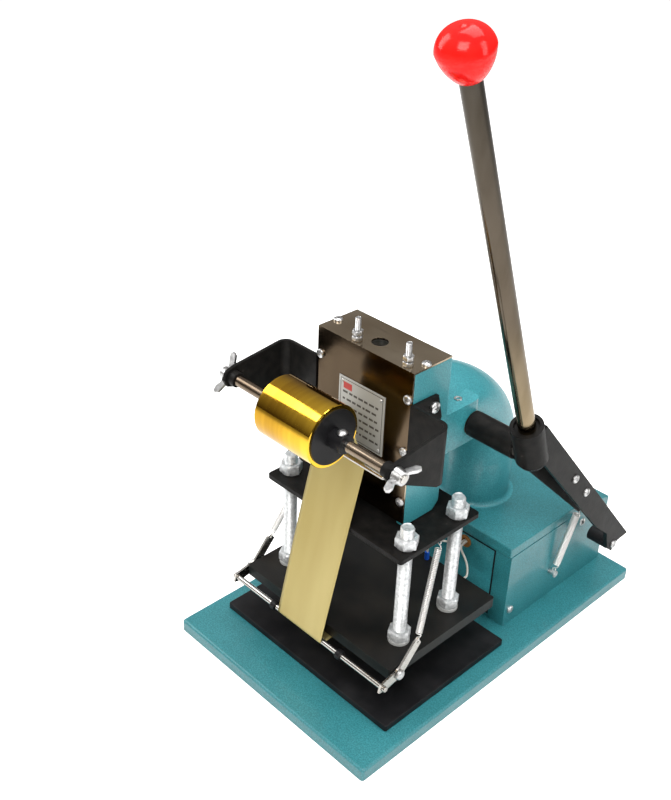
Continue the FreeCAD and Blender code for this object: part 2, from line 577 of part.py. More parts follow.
def rack():
    """The rack behind the ram: a tooth level with the pinion's axis, then one every pitch."""
    pitch = math.pi * module
    pitch_line = axis_y - pitch_radius
    root_half, pitch_half, tip_half = gear_tooth_profile()
    outline = [Vector(0, size("ram_back"), RACK_HIGH), Vector(0, size("ram_back"), RACK_LOW)]
    first = -math.floor((axis_z - RACK_LOW - pitch / 2) / pitch)
    last = math.floor((RACK_HIGH - axis_z - pitch / 2) / pitch)
    root_line = pitch_line - 1.25 * module
    outline.append(Vector(0, root_line, RACK_LOW))
    for tooth in range(first, last + 1):
        middle = axis_z + tooth * pitch
        for half, line in ((-root_half, root_line), (-pitch_half, pitch_line),
                           (-tip_half, pitch_line + 0.9 * module), (tip_half, pitch_line + 0.9 * module),
                           (pitch_half, pitch_line), (root_half, root_line)):
            outline.append(Vector(0, line, middle + half))
    outline.append(Vector(0, root_line, RACK_HIGH))
    bar = Part.Face(Part.makePolygon(outline + outline[:1])).extrude(Vector(size("gear_width"), 0, 0))
    bar.translate(Vector(-size("gear_width") / 2, 0, 0))
    return bar


rack_bar = doc.addObject("Part::Feature", "rack_bar")
rack_bar.Shape = rack()
upper_top = "upper_low + upper_thick"
ram_block = block(("-ram_half", "ram_half"), ("ram_front", "ram_back"), (upper_top, "ram_top"))
subpart("ram", fuse(ram_block, rack_bar))

SHAFT_LEFT = -58
shaft_rod = rod("shaft_radius", f"lever_plane - 3 - ({SHAFT_LEFT})", SHAFT_LEFT, "shaft_axis_y",
                "shaft_axis_z", ALONG_X)
pinion_ring = doc.addObject("Part::Feature", "pinion_ring")
pinion_ring.Shape = pinion()
subpart("pinion_shaft", fuse(shaft_rod, pinion_ring))
subpart("shaft_collar", cut(rod(13, 7.5, "-block_half - 7.8", "shaft_axis_y", "shaft_axis_z", ALONG_X),
                            rod("shaft_radius", 7.5, "-block_half - 7.8", "shaft_axis_y", "shaft_axis_z",
                                ALONG_X)))

# ---- Lever: sleeve, socket, tube, knob ------------------------------------------
plane, lean = size("lever_plane"), size("lever_lean")
lever_turn = Rotation(X_AXIS, lean)
SLEEVE_START = 50.4
sleeve_stock = rod("sleeve_radius", f"sleeve_end - {SLEEVE_START}", SLEEVE_START, "shaft_axis_y",
                   "shaft_axis_z", ALONG_X)
sleeve_bore = rod("shaft_radius", 60, SLEEVE_START - 1, "shaft_axis_y", "shaft_axis_z", ALONG_X)
socket_low, socket_high = size("socket_low"), size("socket_high")


def socket_rod(radius, low, high):
    """A cylinder on the lever's leaning axis, between two distances from the shaft."""
    rod_shape = Part.makeCylinder(radius, high - low, Vector(0, 0, low), Z_AXIS)
    rod_shape.Placement = Placement(Vector(plane, axis_y, axis_z), lever_turn)
    return rod_shape


def socket_body():
    """The socket's outer form: a cylinder that tapers at its lower end."""
    taper = Part.makeCone(SOCKET_FOOT, size("socket_radius"), FOOT_TAPER, Vector(0, 0, socket_low), Z_AXIS)
    taper.Placement = Placement(Vector(plane, axis_y, axis_z), lever_turn)
    straight = socket_rod(size("socket_radius"), socket_low + FOOT_TAPER, socket_high)
    return taper.fuse(straight).removeSplitter()


SOCKET_FOOT, FOOT_TAPER = 11.2, 5
socket_block = doc.addObject("Part::Feature", "socket_block")
socket_block.Shape = socket_body()
subpart("shaft_sleeve", cut(sleeve_stock, sleeve_bore, socket_block))
TUBE_SEAT = 9
shaft_end = Part.makeCylinder(size("shaft_radius"), 80, Vector(plane - 83, axis_y, axis_z), X_AXIS)
socket = socket_body()
socket = socket.cut([socket_rod(size("lever_radius"), TUBE_SEAT, socket_high + 1),
                     socket_rod(size("lever_radius") + 3.4, socket_high - 3, socket_high + 1), shaft_end])
made("lever_socket", socket)
KNOB_START, KNOB_HIGH, KNOB_NECK, KNOB_GRIP = size("lever_length") - 1, 35, 9, 24
tube = socket_rod(size("lever_radius"), TUBE_SEAT, size("lever_length") + KNOB_GRIP - 2)
tube = tube.cut(socket_rod(size("lever_radius") - 1.5, TUBE_SEAT - 1, size("lever_length") + KNOB_GRIP))
made("lever_tube", tube)
knob_radius = size("knob_radius")
lower_side = Part.Arc(Vector(KNOB_NECK, 0, 0), Vector(15.2, 0, 8.6), Vector(knob_radius, 0, 20))
upper_side = Part.Arc(Vector(knob_radius, 0, 20), Vector(14.6, 0, 29), Vector(1.5, 0, 34.2))
knob_edges = [Part.makeLine(Vector(), Vector(KNOB_NECK, 0, 0)), lower_side.toShape(), upper_side.toShape(),
              Part.makeLine(Vector(1.5, 0, 34.2), Vector(0, 0, KNOB_HIGH)),
              Part.makeLine(Vector(0, 0, KNOB_HIGH), Vector())]
knob = Part.Face(Part.Wire(knob_edges)).revolve(Vector(), Z_AXIS, 360)
knob = knob.cut(Part.makeCylinder(size("lever_radius"), KNOB_GRIP, Vector(0, 0, -1), Z_AXIS))
made("lever_knob", knob)
subparts[-1].Placement = Placement(
    Vector(plane, axis_y, axis_z) + lever_turn.multVec(Vector(0, 0, KNOB_START)), lever_turn)

# ---- Crank bar, link plate, spacers and the return spring -------------------------
BAR_OUTLINE = [(-14, 244), (-3.5, 266), (168, 71), (152, 70), (143, 61.5), (134, 70), (128, 90),
               (106, 109)]
LINK_OUTLINE = [(-8, 224), (10, 243), (120, 137), (119, 122), (106, 115)]
bar_plate = profile("bar_plate", BAR_OUTLINE, "bar_thick", "bar_inner")
CRANK_PINS = [(53, 188.5), (75, 164)]
SPACER_PLACE, SPACER_RADIUS = (143.5, 70), 7.3
pin_holes = [rod(2, 40, "link_inner - 5", y, z, ALONG_X) for y, z in CRANK_PINS + [SPACER_PLACE]]
subpart("crank_bar", cut(bar_plate, socket_block, *pin_holes))
link_plate = profile("link_plate", LINK_OUTLINE, "link_thick", "link_inner")
SPRING_TOP = (110, 122)
link_hole = rod(2, 10, "link_inner - 3", *SPRING_TOP, ALONG_X)
shaft_hole = rod("shaft_radius", 10, "link_inner - 3", "shaft_axis_y", "shaft_axis_z", ALONG_X)
subpart("crank_link", cut(link_plate, socket_block, link_hole, shaft_hole,
                          *[rod(2, 40, "link_inner - 5", y, z, ALONG_X) for y, z in CRANK_PINS]))
tubes = [cut(rod(5, "bar_inner - link_inner - link_thick", "link_inner + link_thick", y, z, ALONG_X),
             rod(2, 40, "link_inner - 5", y, z, ALONG_X)) for y, z in CRANK_PINS]
buffer_stock = rod(SPACER_RADIUS, "bar_inner - 97", 97, *SPACER_PLACE, ALONG_X)
crank_buffer = cut(buffer_stock, rod(2, 40, 90, *SPACER_PLACE, ALONG_X))
subpart("crank_spacers", group(crank_buffer, *tubes))
bar_face = size("bar_inner") + size("bar_thick")
crank_screws = []
for y, z in CRANK_PINS + [SPACER_PLACE]:
    screw = pan_screw(2, 24)
    screw.Placement = Placement(Vector(bar_face, y, z), FACE_RIGHT)
    crank_screws.append(screw)
made("crank_screws", Part.makeCompound(crank_screws))
anchor_screw = rod(2.2, 11, "housing_width / 2 - 4", *ANCHOR, ALONG_X)
anchor_head = rod(3.4, 1.5, "housing_width / 2 + 6.5", *ANCHOR, ALONG_X)
subpart("spring_anchor", fuse(anchor_screw, anchor_head))


def spring_rod(start, end, radius):
    """A plain rod that holds a coil spring's space between two points."""
    along = end - start
    return Part.makeCylinder(radius, along.Length, start, along)


link_middle = size("link_inner") + size("link_thick") / 2
made("return_spring", spring_rod(Vector(92.6, ANCHOR[0] + 2, ANCHOR[1] + 5.5),
                                 Vector(link_middle, SPRING_TOP[0] - 5, SPRING_TOP[1] - 11.5), 3.6))

# ---- Upper plate, pillars, heated plate ---------------------------------------------
upper_middle = "(upper_front + upper_back) / 2"
upper_stock = plate("upper_stock", "upper_width", "upper_back - upper_front", "upper_thick",
                    "plate_corner", 0, upper_middle, "upper_low")
PILLARS = [(x, y) for x in ("-stud_x", "stud_x") for y in ("stud_front", "stud_back")]
subpart("upper_plate", cut(upper_stock, *[rod("stud_radius", "upper_thick + 2", x, y, "upper_low - 1")
                                          for x, y in PILLARS]))
heated_top = "heated_low + heated_thick"
heated_middle = "(heated_front + heated_back) / 2"
heated_stock = plate("heated_stock", "heated_width", "heated_back - heated_front", "heated_thick",
                     "base_edge", 0, heated_middle, "heated_low")
HEATER_PLACES, HEATER_LENGTH = (-52, -18, 18, 52), 110
SENSOR_X = 35
bores = [rod("heater_bore", HEATER_LENGTH + 2, x, "heated_back - 110", "heated_low + heated_thick / 2",
             ALONG_Y)
         for x in HEATER_PLACES]
sensor_bore = rod(2.05, 52, SENSOR_X, "heated_back - 50", "heated_low + heated_thick / 2", ALONG_Y)
pillar_seats = [rod("stud_radius", "heated_thick", x, y, "heated_low + 2") for x, y in PILLARS]
pivot_holes = [rod(2, 16, x, "pivot_y", "pivot_z", ALONG_X)
               for x in ("-heated_width / 2 - 1", "heated_width / 2 - 15")]
subpart("heated_plate", cut(heated_stock, *bores, sensor_bore, *pillar_seats, *pivot_holes))
subpart("plate_pillars", group(*[rod("stud_radius", "stud_top - heated_low - 2", x, y, "heated_low + 2")
                                 for x, y in PILLARS]))
upper_nuts = [nut("nut_across", "nut_high", "stud_radius", x, y, upper_top) for x, y in PILLARS]
lower_nuts = [nut("nut_across", "nut_high", "stud_radius", x, y, f"{heated_top} + 3") for x, y in PILLARS]
subpart("pillar_nuts", group(*upper_nuts, *lower_nuts))
subpart("insulating_washers", group(*[
    cut(rod(9.5, 3, x, y, heated_top), rod("stud_radius", 3, x, y, heated_top)) for x, y in PILLARS]))
sensor = rod(2, 54, SENSOR_X, "heated_back - 49", "heated_low + heated_thick / 2", ALONG_Y)
subpart("heaters_and_sensor", group(sensor, *[
    rod("heater_radius", HEATER_LENGTH, x, "heated_back - 109", "heated_low + heated_thick / 2", ALONG_Y)
    for x in HEATER_PLACES]))

# ---- Sprung guide bar and its arms -----------------------------------------------------
ARM_OUTLINE = [(-149, 51), (-142, 49.5), (-124.5, 53), (-119, 57), (-100.5, 78), (-104.5, 84.5), (-109, 82),
               (-124.5, 64), (-130, 62), (-147, 59)]
SPRING_HOLE = (-104.8, 80.5)
arm_strips = []
for start in ("arm_plane", "-arm_plane - arm_thick"):
    strip = profile("strip", ARM_OUTLINE, "arm_thick", start)
    arm_strips.append(cut(strip, rod("guide_radius", 6, f"{start} - 2", "guide_y", "guide_z", ALONG_X),
                          rod(2.55, 6, f"{start} - 2", "pivot_y", "pivot_z", ALONG_X),
                          rod(1.1, 6, f"{start} - 2", *SPRING_HOLE, ALONG_X)))
subpart("guide_arms", group(*arm_strips))
subpart("guide_bar", rod("guide_radius", "2 * guide_half", "-guide_half", "guide_y", "guide_z", ALONG_X))
side_face = size("heated_width") / 2
pivot_set = []
for direction, turn in ((1, FACE_RIGHT), (-1, FACE_LEFT)):
    shoulder = turned([(0, -9), (2, -9), (2, 0), (2.5, 0), (2.5, 3.4), (4.6, 3.4), (4.6, 5.4), (3.6, 6.2),
                       (0, 6.2)])
    shoulder.Placement = Placement(Vector(direction * side_face, size("pivot_y"), size("pivot_z")), turn)
    pivot_set.append(shoulder)
made("pivot_screws", Part.makeCompound(pivot_set))
strip_middle = size("arm_plane") + size("arm_thick") / 2
guide_springs = [spring_rod(Vector(direction * strip_middle, SPRING_HOLE[0] + 1.2, SPRING_HOLE[1] + 4.6),
                            Vector(direction * 78.5, -68.5, size("upper_low") - 4), 2.6)
                 for direction in (1, -1)]
made("guide_springs", Part.makeCompound(guide_springs))
COLLAR_PLACES = (-44, 40)
subpart("bar_collars", group(*[
    cut(rod(4.4, 5, start, "guide_y", "guide_z", ALONG_X),
        rod("guide_radius", 5, start, "guide_y", "guide_z", ALONG_X)) for start in COLLAR_PLACES]))

# ---- Foil web: roll, rear of the rod, front of the guide bar, under the hot plate ---------
half_web = size("web_thick") / 2
guide_y, guide_z, guide_reach = size("guide_y"), size("guide_z"), size("guide_radius") + half_web + 0.45
WEB_ROUTE = [(foil_y + 25.9, foil_z - 8.5), (rod_y + rod_radius + 0.6, rod_z),
             (guide_y - guide_reach, guide_z), (guide_y - 0.6 * guide_reach, guide_z - 0.8 * guide_reach),
             (guide_y, guide_z - guide_reach), (size("heated_front") + 2, size("heated_low") - 1.2),
             (size("heated_back") - 3, size("heated_low") - 1.2)]


def web(route, thick):
    """A thin strip along a route in the YZ plane."""
    above, below = [], []
    for number, (y, z) in enumerate(route):
        before, after = route[max(number - 1, 0)], route[min(number + 1, len(route) - 1)]
        along = Vector(0, after[0] - before[0], after[1] - before[1]).normalize()
        across = Vector(0, -along.z, along.y) * (thick / 2)
        above.append(Vector(0, y, z) + across)
        below.append(Vector(0, y, z) - across)
    outline = above + below[::-1]
    strip = Part.Face(Part.makePolygon(outline + outline[:1])).extrude(Vector(size("web_width"), 0, 0))
    strip.translate(Vector(size("web_left"), 0, 0))
    return strip


made("foil_web", web(WEB_ROUTE, size("web_thick")))

# ---- Temperature controller, switch and gland in the housing -------------------------------
left_face = "-housing_width / 2"
meter_low_y, meter_high_y = "meter_y - meter_width / 2", "meter_y + meter_width / 2"
meter_low_z, meter_high_z = "meter_z - meter_high / 2", "meter_z + meter_high / 2"
bezel = block((f"{left_face} - 4", left_face), (meter_low_y, meter_high_y), (meter_low_z, meter_high_z))
case = block((left_face, f"{left_face} + 52"), (f"{meter_low_y} + 3.3", f"{meter_high_y} - 3.3"),
             (f"{meter_low_z} + 3.3", f"{meter_high_z} - 3.3"))
WINDOW_LOW, WINDOW_HIGH = 62, 86
window = block((f"{left_face} - 5", f"{left_face} + 3"), (f"{meter_low_y} + 4", f"{meter_high_y} - 4"),
               (WINDOW_LOW, WINDOW_HIGH))
DIAL_Z = 37
dial_bore = rod(3.05, 12, f"{left_face} - 6", "meter_y", DIAL_Z, ALONG_X)
LAMP_PLACES = [("meter_y - 24", 24), ("meter_y + 24", 24)]
lamp_bores = [rod(2, 8, f"{left_face} - 6", y, z, ALONG_X) for y, z in LAMP_PLACES]
subpart("controller_case", cut(fuse(bezel, case), window, dial_bore, *lamp_bores))
subpart("meter_window", block((f"{left_face} - 4", f"{left_face} - 2.8"),
                              (f"{meter_low_y} + 4", f"{meter_high_y} - 4"), (WINDOW_LOW, WINDOW_HIGH)))
subpart("indicator_lamps", group(*[rod(2, 4.5, f"{left_face} - 5.3", y, z, ALONG_X)
                                   for y, z in LAMP_PLACES]))
dial = fuse(rod(14, 9, f"{left_face} - 13.4", "meter_y", DIAL_Z, ALONG_X),
            rod(3, 11, f"{left_face} - 5.5", "meter_y", DIAL_Z, ALONG_X))
subpart("temperature_dial", dial)
NEEDLE_Z = 66
needle = fuse(rod(2, 1.2, 0, 0, 0, ALONG_X), block((0.3, 0.9), (-0.5, 0.5), (0, 18)))
subpart("meter_needle", put(needle, f"{left_face} - 0.9", "meter_y", NEEDLE_Z, Rotation(X_AXIS, -40)))
switch_body = block((f"{left_face} - 1.6", f"{left_face} + 18"), (SWITCH_Y - 6.9, SWITCH_Y + 6.9),
                    (SWITCH_Z - 9.9, SWITCH_Z + 9.9))
switch_well = block((f"{left_face} - 2", f"{left_face} + 9"), (SWITCH_Y - 5, SWITCH_Y + 5),
                    (SWITCH_Z - 8, SWITCH_Z + 8))
pivot_seat = rod(1.55, 12.8, f"{left_face} + 2", SWITCH_Y - 6.4, SWITCH_Z, ALONG_Y)
subpart("switch_case", cut(switch_body, switch_well, pivot_seat))
rocker_block = block((f"{left_face} - 3.6", f"{left_face} + 4"), (SWITCH_Y - 4.6, SWITCH_Y + 4.6),
                     (SWITCH_Z - 7.2, SWITCH_Z + 7.2))
rocker_pivot = rod(1.5, 12.4, f"{left_face} + 2", SWITCH_Y - 6.2, SWITCH_Z, ALONG_Y)
subpart("switch_rocker", fuse(rocker_block, rocker_pivot))
gland = fuse(rod(GLAND_RADIUS, "housing_wall + 1", GLAND_X, "housing_back - housing_wall - 1", GLAND_Z,
                 ALONG_Y),
             rod(GLAND_RADIUS + 3, 3, GLAND_X, "housing_back", GLAND_Z, ALONG_Y),
             rod(GLAND_RADIUS, 7.5, GLAND_X, "housing_back", GLAND_Z, ALONG_Y))
subpart("cable_gland", cut(gland, rod(3.5, 40, GLAND_X, "housing_back - 20", GLAND_Z, ALONG_Y)))

# ---- Heater leads from the hot plate to the grommet ------------------------------------------
LEAD_RADIUS, LEAD_GAP = 1.1, 1.2
HEATER_X, TERMINAL_X, TERMINAL_Y, TERMINAL_HIGH = 52, 14, -3, 9
subpart("lead_terminal", rod(2.3, TERMINAL_HIGH, TERMINAL_X, TERMINAL_Y, heated_top))
plate_back, heater_z = size("heated_back"), size("heated_low") + size("heated_thick") / 2
terminal_top = size("heated_low") + size("heated_thick") + TERMINAL_HIGH
panel_y = size("housing_front")
HEATER_ROUTE = [Vector(HEATER_X, plate_back + 1.2, heater_z),
                Vector(HEATER_X, plate_back + 9, heater_z + 0.6),
                Vector(HEATER_X - 4, plate_back + 12, heater_z + 12),
                Vector(GROMMET_X + LEAD_GAP, panel_y - 9, GROMMET_Z - 2),
                Vector(GROMMET_X + LEAD_GAP, panel_y + 2, GROMMET_Z)]
TERMINAL_ROUTE = [Vector(TERMINAL_X, TERMINAL_Y, terminal_top),
                  Vector(TERMINAL_X, TERMINAL_Y, terminal_top + 8),
                  Vector(TERMINAL_X + 8, TERMINAL_Y + 11, GROMMET_Z + 3.5),
                  Vector(GROMMET_X - LEAD_GAP, panel_y - 9, GROMMET_Z + 0.5),
                  Vector(GROMMET_X - LEAD_GAP, panel_y + 2, GROMMET_Z)]


def rounded_path(points):
    """Straight runs joined by tangent arcs, each as large as its runs allow."""
    edges, start = [], points[0]
    for number in range(1, len(points) - 1):
        corner = points[number]
        to_before, to_after = points[number - 1] - corner, points[number + 1] - corner
        reach = 0.45 * min(to_before.Length, to_after.Length)
        first = corner + to_before.normalize() * reach
        last = corner + to_after.normalize() * reach
        half_turn = (math.pi - (points[number - 1] - corner).getAngle(points[number + 1] - corner)) / 2
        middle_way = ((first + last) * 0.5 - corner).normalize()
        radius = reach / math.tan(half_turn)
        middle = corner + middle_way * (radius / math.cos(half_turn) - radius)
        edges += [Part.LineSegment(start, first).toShape(), Part.Arc(first, middle, last).toShape()]
        start = last
    edges.append(Part.LineSegment(start, points[-1]).toShape())
    return Part.Wire(edges)


def lead(route):
    """A round lead along a route."""
    section = Part.Wire(Part.makeCircle(LEAD_RADIUS, route[0], route[1] - route[0]))
    return rounded_path(route).makePipeShell([section], True, True)


made("heater_lead", Part.makeCompound([lead(HEATER_ROUTE), lead(TERMINAL_ROUTE)]))

# ---- Checks and export ------------------------------------------------------------------------
doc.recompute()
broken = [thing.Name for thing in doc.Objects if {"Invalid", "Error"} & set(thing.State)]
if broken:
    raise RuntimeError(f"failed features: {broken}")
os.makedirs("parts", exist_ok=True)
for thing in subparts:
    shape = thing.Shape
    if shape.isNull() or not shape.isValid() or not shape.Solids:
        raise RuntimeError(f"{thing.Label} has no valid solid")
    if thing.isDerivedFrom("PartDesign::Body"):
        shape = thing.Tip.Shape.copy()
        shape.Placement = thing.Placement.multiply(thing.Tip.Placement)
    shape.exportStep(f"parts/{thing.Label}.step")
    print(f"{thing.Label:22s} {len(shape.Solids)} solid(s) {shape.Volume / 1000:9.2f} cm3 {shape.BoundBox}")
print(len(subparts), "nodes")
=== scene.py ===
import bmesh
import bpy
import json
import math
import random
from mathutils import Matrix, Vector

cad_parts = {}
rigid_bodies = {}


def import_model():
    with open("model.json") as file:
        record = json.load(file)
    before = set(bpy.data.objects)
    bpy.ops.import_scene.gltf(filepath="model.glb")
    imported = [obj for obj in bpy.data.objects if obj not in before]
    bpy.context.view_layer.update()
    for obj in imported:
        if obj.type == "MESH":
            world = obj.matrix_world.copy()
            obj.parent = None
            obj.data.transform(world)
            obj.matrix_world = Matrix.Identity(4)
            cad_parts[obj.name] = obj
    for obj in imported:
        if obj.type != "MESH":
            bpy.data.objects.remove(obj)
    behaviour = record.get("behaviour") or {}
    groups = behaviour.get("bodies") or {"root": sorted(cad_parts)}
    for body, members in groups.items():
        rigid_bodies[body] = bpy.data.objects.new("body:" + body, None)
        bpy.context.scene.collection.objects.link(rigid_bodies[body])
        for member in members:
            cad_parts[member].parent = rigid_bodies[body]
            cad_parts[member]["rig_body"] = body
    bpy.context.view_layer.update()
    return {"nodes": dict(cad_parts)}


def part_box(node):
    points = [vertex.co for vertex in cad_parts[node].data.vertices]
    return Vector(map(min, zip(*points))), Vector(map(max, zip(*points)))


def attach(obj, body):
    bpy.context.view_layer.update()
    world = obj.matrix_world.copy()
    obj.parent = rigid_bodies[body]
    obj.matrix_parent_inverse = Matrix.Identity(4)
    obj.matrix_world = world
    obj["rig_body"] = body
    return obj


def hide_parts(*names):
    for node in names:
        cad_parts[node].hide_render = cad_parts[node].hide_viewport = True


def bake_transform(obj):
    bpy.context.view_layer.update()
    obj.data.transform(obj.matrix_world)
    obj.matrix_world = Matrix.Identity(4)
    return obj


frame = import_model()

# ---- The place: a pale bench top, soft studio light and the camera -------------------------------
# The press stands on a plain bench. Large soft boxes light it from above, and
# the room is warm grey near the bench, which the bright metal reflects.
scene = bpy.context.scene
camera_data = bpy.data.cameras.new("view")
camera_data.lens = 49.335
camera_data.sensor_width = 36
camera_data.clip_end = 50
camera = bpy.data.objects.new("view", camera_data)
scene.collection.objects.link(camera)
right = Vector((0.69211215, 0.72104175, 0.03285679))
up = Vector((-0.39330359, 0.33857157, 0.85479914))
back = Vector((0.60522150, -0.60453946, 0.51791781))
camera.matrix_world = Matrix((right, up, back)).transposed().to_4x4()
camera.location = (0.52153714, -0.63954736, 0.72548202)
scene.camera = camera
scene.view_settings.view_transform = "Standard"
scene.view_settings.look = "None"


def shaded(name, colour, roughness, metallic=0.0, coat=0.0, coat_roughness=0.1):
    """A new material, with its principled shader."""
    material = bpy.data.materials.new(name)
    material.use_nodes = True
    shader = material.node_tree.nodes["Principled BSDF"]
    shader.inputs["Base Color"].default_value = (*colour, 1)
    shader.inputs["Roughness"].default_value = roughness
    shader.inputs["Metallic"].default_value = metallic
    shader.inputs["Coat Weight"].default_value = coat
    shader.inputs["Coat Roughness"].default_value = coat_roughness
    material.diffuse_color = (*colour, 1)
    return material, shader


def add_node(material, kind, **values):
    """A node in a material, with named inputs or properties set."""
    node = material.node_tree.nodes.new(kind)
    for key, value in values.items():
        if key in node.inputs:
            node.inputs[key].default_value = value
        else:
            setattr(node, key, value)
    return node


def grain(material, scale, detail=2.0, stretch=(1, 1, 1), turn=(0, 0, 0)):
    """Noise on the piece's own coordinates, drawn out along an axis where stretch says so."""
    link = material.node_tree.links.new
    place = add_node(material, "ShaderNodeTexCoord")
    mapping = add_node(material, "ShaderNodeMapping")
    mapping.inputs["Scale"].default_value = stretch
    mapping.inputs["Rotation"].default_value = turn
    noise = add_node(material, "ShaderNodeTexNoise", Scale=scale, Detail=detail)
    link(place.outputs["Object"], mapping.inputs["Vector"])
    link(mapping.outputs["Vector"], noise.inputs["Vector"])
    return noise.outputs["Fac"]


def ramp(material, source, stops):
    """A colour ramp over a value."""
    node = add_node(material, "ShaderNodeValToRGB")
    while len(node.color_ramp.elements) < len(stops):
        node.color_ramp.elements.new(0.5)
    for element, (place, colour) in zip(node.color_ramp.elements, stops):
        element.position = place
        element.color = (*colour, 1) if len(colour) == 3 else colour
    material.node_tree.links.new(source, node.inputs["Fac"])
    return node.outputs["Color"]


def roughened(material, shader, source, low, high):
    """Roughness that follows a value between two limits."""
    node = add_node(material, "ShaderNodeMapRange")
    node.inputs["To Min"].default_value = low
    node.inputs["To Max"].default_value = high
    material.node_tree.links.new(source, node.inputs["Value"])
    material.node_tree.links.new(node.outputs["Result"], shader.inputs["Roughness"])


def bumped(material, shader, source, depth, strength=1.0):
    """A fine relief from a value, in metres."""
    node = add_node(material, "ShaderNodeBump", Strength=strength, Distance=depth)
    material.node_tree.links.new(source, node.inputs["Height"])
    material.node_tree.links.new(node.outputs["Normal"], shader.inputs["Normal"])


def mixed(material, first, second, share, mode="MIX"):
    """Two colours mixed by a value."""
    node = add_node(material, "ShaderNodeMix", data_type="RGBA", blend_type=mode)
    link = material.node_tree.links.new
    for socket, value in ((node.inputs[0], share), (node.inputs[6], first), (node.inputs[7], second)):
        if isinstance(value, bpy.types.NodeSocket):
            link(value, socket)
        elif isinstance(value, (int, float)):
            socket.default_value = value
        else:
            socket.default_value = (*value, 1)
    return node.outputs[2]


bench_mesh = bpy.data.meshes.new("bench_top")
BENCH_HALF = 12
bench_mesh.from_pydata([(x * BENCH_HALF, y * BENCH_HALF, -0.0002)
                        for x, y in ((-1, -1), (1, -1), (1, 1), (-1, 1))], [], [(0, 1, 2, 3)])
bench_top = bpy.data.objects.new("bench_top", bench_mesh)
scene.collection.objects.link(bench_top)
bench_finish, bench_shader = shaded("bench_white", (0.92, 0.92, 0.915), 0.7)
bench_mesh.materials.append(bench_finish)
seen = add_node(bench_finish, "ShaderNodeLightPath")
lifted = add_node(bench_finish, "ShaderNodeMath", operation="MULTIPLY")
lifted.inputs[1].default_value = 0.55
bench_shader.inputs["Emission Color"].default_value = (1, 1, 1, 1)
bench_finish.node_tree.links.new(seen.outputs["Is Camera Ray"], lifted.inputs[0])
bench_finish.node_tree.links.new(lifted.outputs["Value"], bench_shader.inputs["Emission Strength"])

room = bpy.data.worlds.new("room")
scene.world = room
room.use_nodes = True
room_nodes, room_links = room.node_tree.nodes, room.node_tree.links
direction = room_nodes.new("ShaderNodeTexCoord")
axes = room_nodes.new("ShaderNodeSeparateXYZ")
tone = room_nodes.new("ShaderNodeValToRGB")
room_links.new(direction.outputs["Generated"], axes.inputs["Vector"])
room_links.new(axes.outputs["Z"], tone.inputs["Fac"])
for place, colour in ((0.0, (0.10, 0.075, 0.05)), (0.22, (0.20, 0.165, 0.13)), (0.50, (0.55, 0.53, 0.50)),
                      (1.0, (1.0, 1.0, 1.0))):
    if place in (0.0, 1.0):
        element = tone.color_ramp.elements[int(place)]
    else:
        element = tone.color_ramp.elements.new(place)
    element.position = place
    element.color = (*colour, 1)
room_links.new(tone.outputs["Color"], room_nodes["Background"].inputs["Color"])
room_nodes["Background"].inputs["Strength"].default_value = 0.62
backdrop = room_nodes.new("ShaderNodeBackground")
behind = room_nodes.new("ShaderNodeLightPath")
either = room_nodes.new("ShaderNodeMixShader")
room_links.new(behind.outputs["Is Camera Ray"], either.inputs["Fac"])
room_links.new(room_nodes["Background"].outputs["Background"], either.inputs[1])
room_links.new(backdrop.outputs["Background"], either.inputs[2])
backdrop.inputs["Color"].default_value = (1, 1, 1, 1)
room_links.new(either.outputs["Shader"], room_nodes["World Output"].inputs["Surface"])


def soft_box(name, place, aim, width, height, power, colour=(1, 1, 1)):
    """A rectangular studio light that points at a place."""
    data = bpy.data.lights.new(name, "AREA")
    data.shape = "RECTANGLE"
    data.size, data.size_y = width, height
    data.energy = power
    data.color = colour
    light = bpy.data.objects.new(name, data)
    light.location = place
    light.rotation_euler = (Vector(aim) - Vector(place)).to_track_quat("-Z", "Y").to_euler()
    scene.collection.objects.link(light)


soft_box("key_light", (0.55, -1.25, 1.55), (0, -0.05, 0.2), 0.9, 0.9, 26, (1, 0.98, 0.95))
soft_box("left_light", (-1.35, -0.65, 1.2), (0, 0, 0.2), 0.7, 1.3, 15)
soft_box("right_light", (1.5, 0.35, 1.1), (0, 0, 0.2), 0.5, 1.3, 12)
soft_box("top_light", (0.0, 0.3, 2.0), (0, 0, 0.1), 1.4, 1.0, 22)

# ---- Base plate and work pad ---------------------------------------------------------------------
# The base is a machined iron plate sprayed with gloss teal enamel, which dries with
# a fine orange peel and a faint fleck. A black rubber-faced pad lies on it for the work.
teal_enamel, teal_shader = shaded("teal_enamel", (0.030, 0.205, 0.222), 0.42, coat=0.4, coat_roughness=0.12)
fleck = ramp(teal_enamel, grain(teal_enamel, 850, 3), [(0.40, (0, 0, 0)), (0.72, (1, 1, 1))])
cloud = grain(teal_enamel, 24, 3)
flecked = mixed(teal_enamel, (0.018, 0.158, 0.182), (0.042, 0.262, 0.298), fleck)
shaded_teal = ramp(teal_enamel, cloud, [(0.30, (0.88, 0.90, 0.90)), (0.75, (1.06, 1.04, 1.03))])
teal_enamel.node_tree.links.new(mixed(teal_enamel, flecked, shaded_teal, 1.0, "MULTIPLY"),
                                teal_shader.inputs["Base Color"])
bumped(teal_enamel, teal_shader, grain(teal_enamel, 620, 2), 0.00022, 0.28)
roughened(teal_enamel, teal_shader, grain(teal_enamel, 70, 2), 0.34, 0.52)


def merged_copy(node):
    """A CAD solid's mesh as a bmesh, with its loose triangles joined and flat faces made whole."""
    shape = bmesh.new()
    shape.from_mesh(frame["nodes"][node].data)
    bmesh.ops.remove_doubles(shape, verts=shape.verts, dist=2e-6)
    bmesh.ops.dissolve_limit(shape, angle_limit=math.radians(0.5), verts=shape.verts, edges=shape.edges)
    return shape


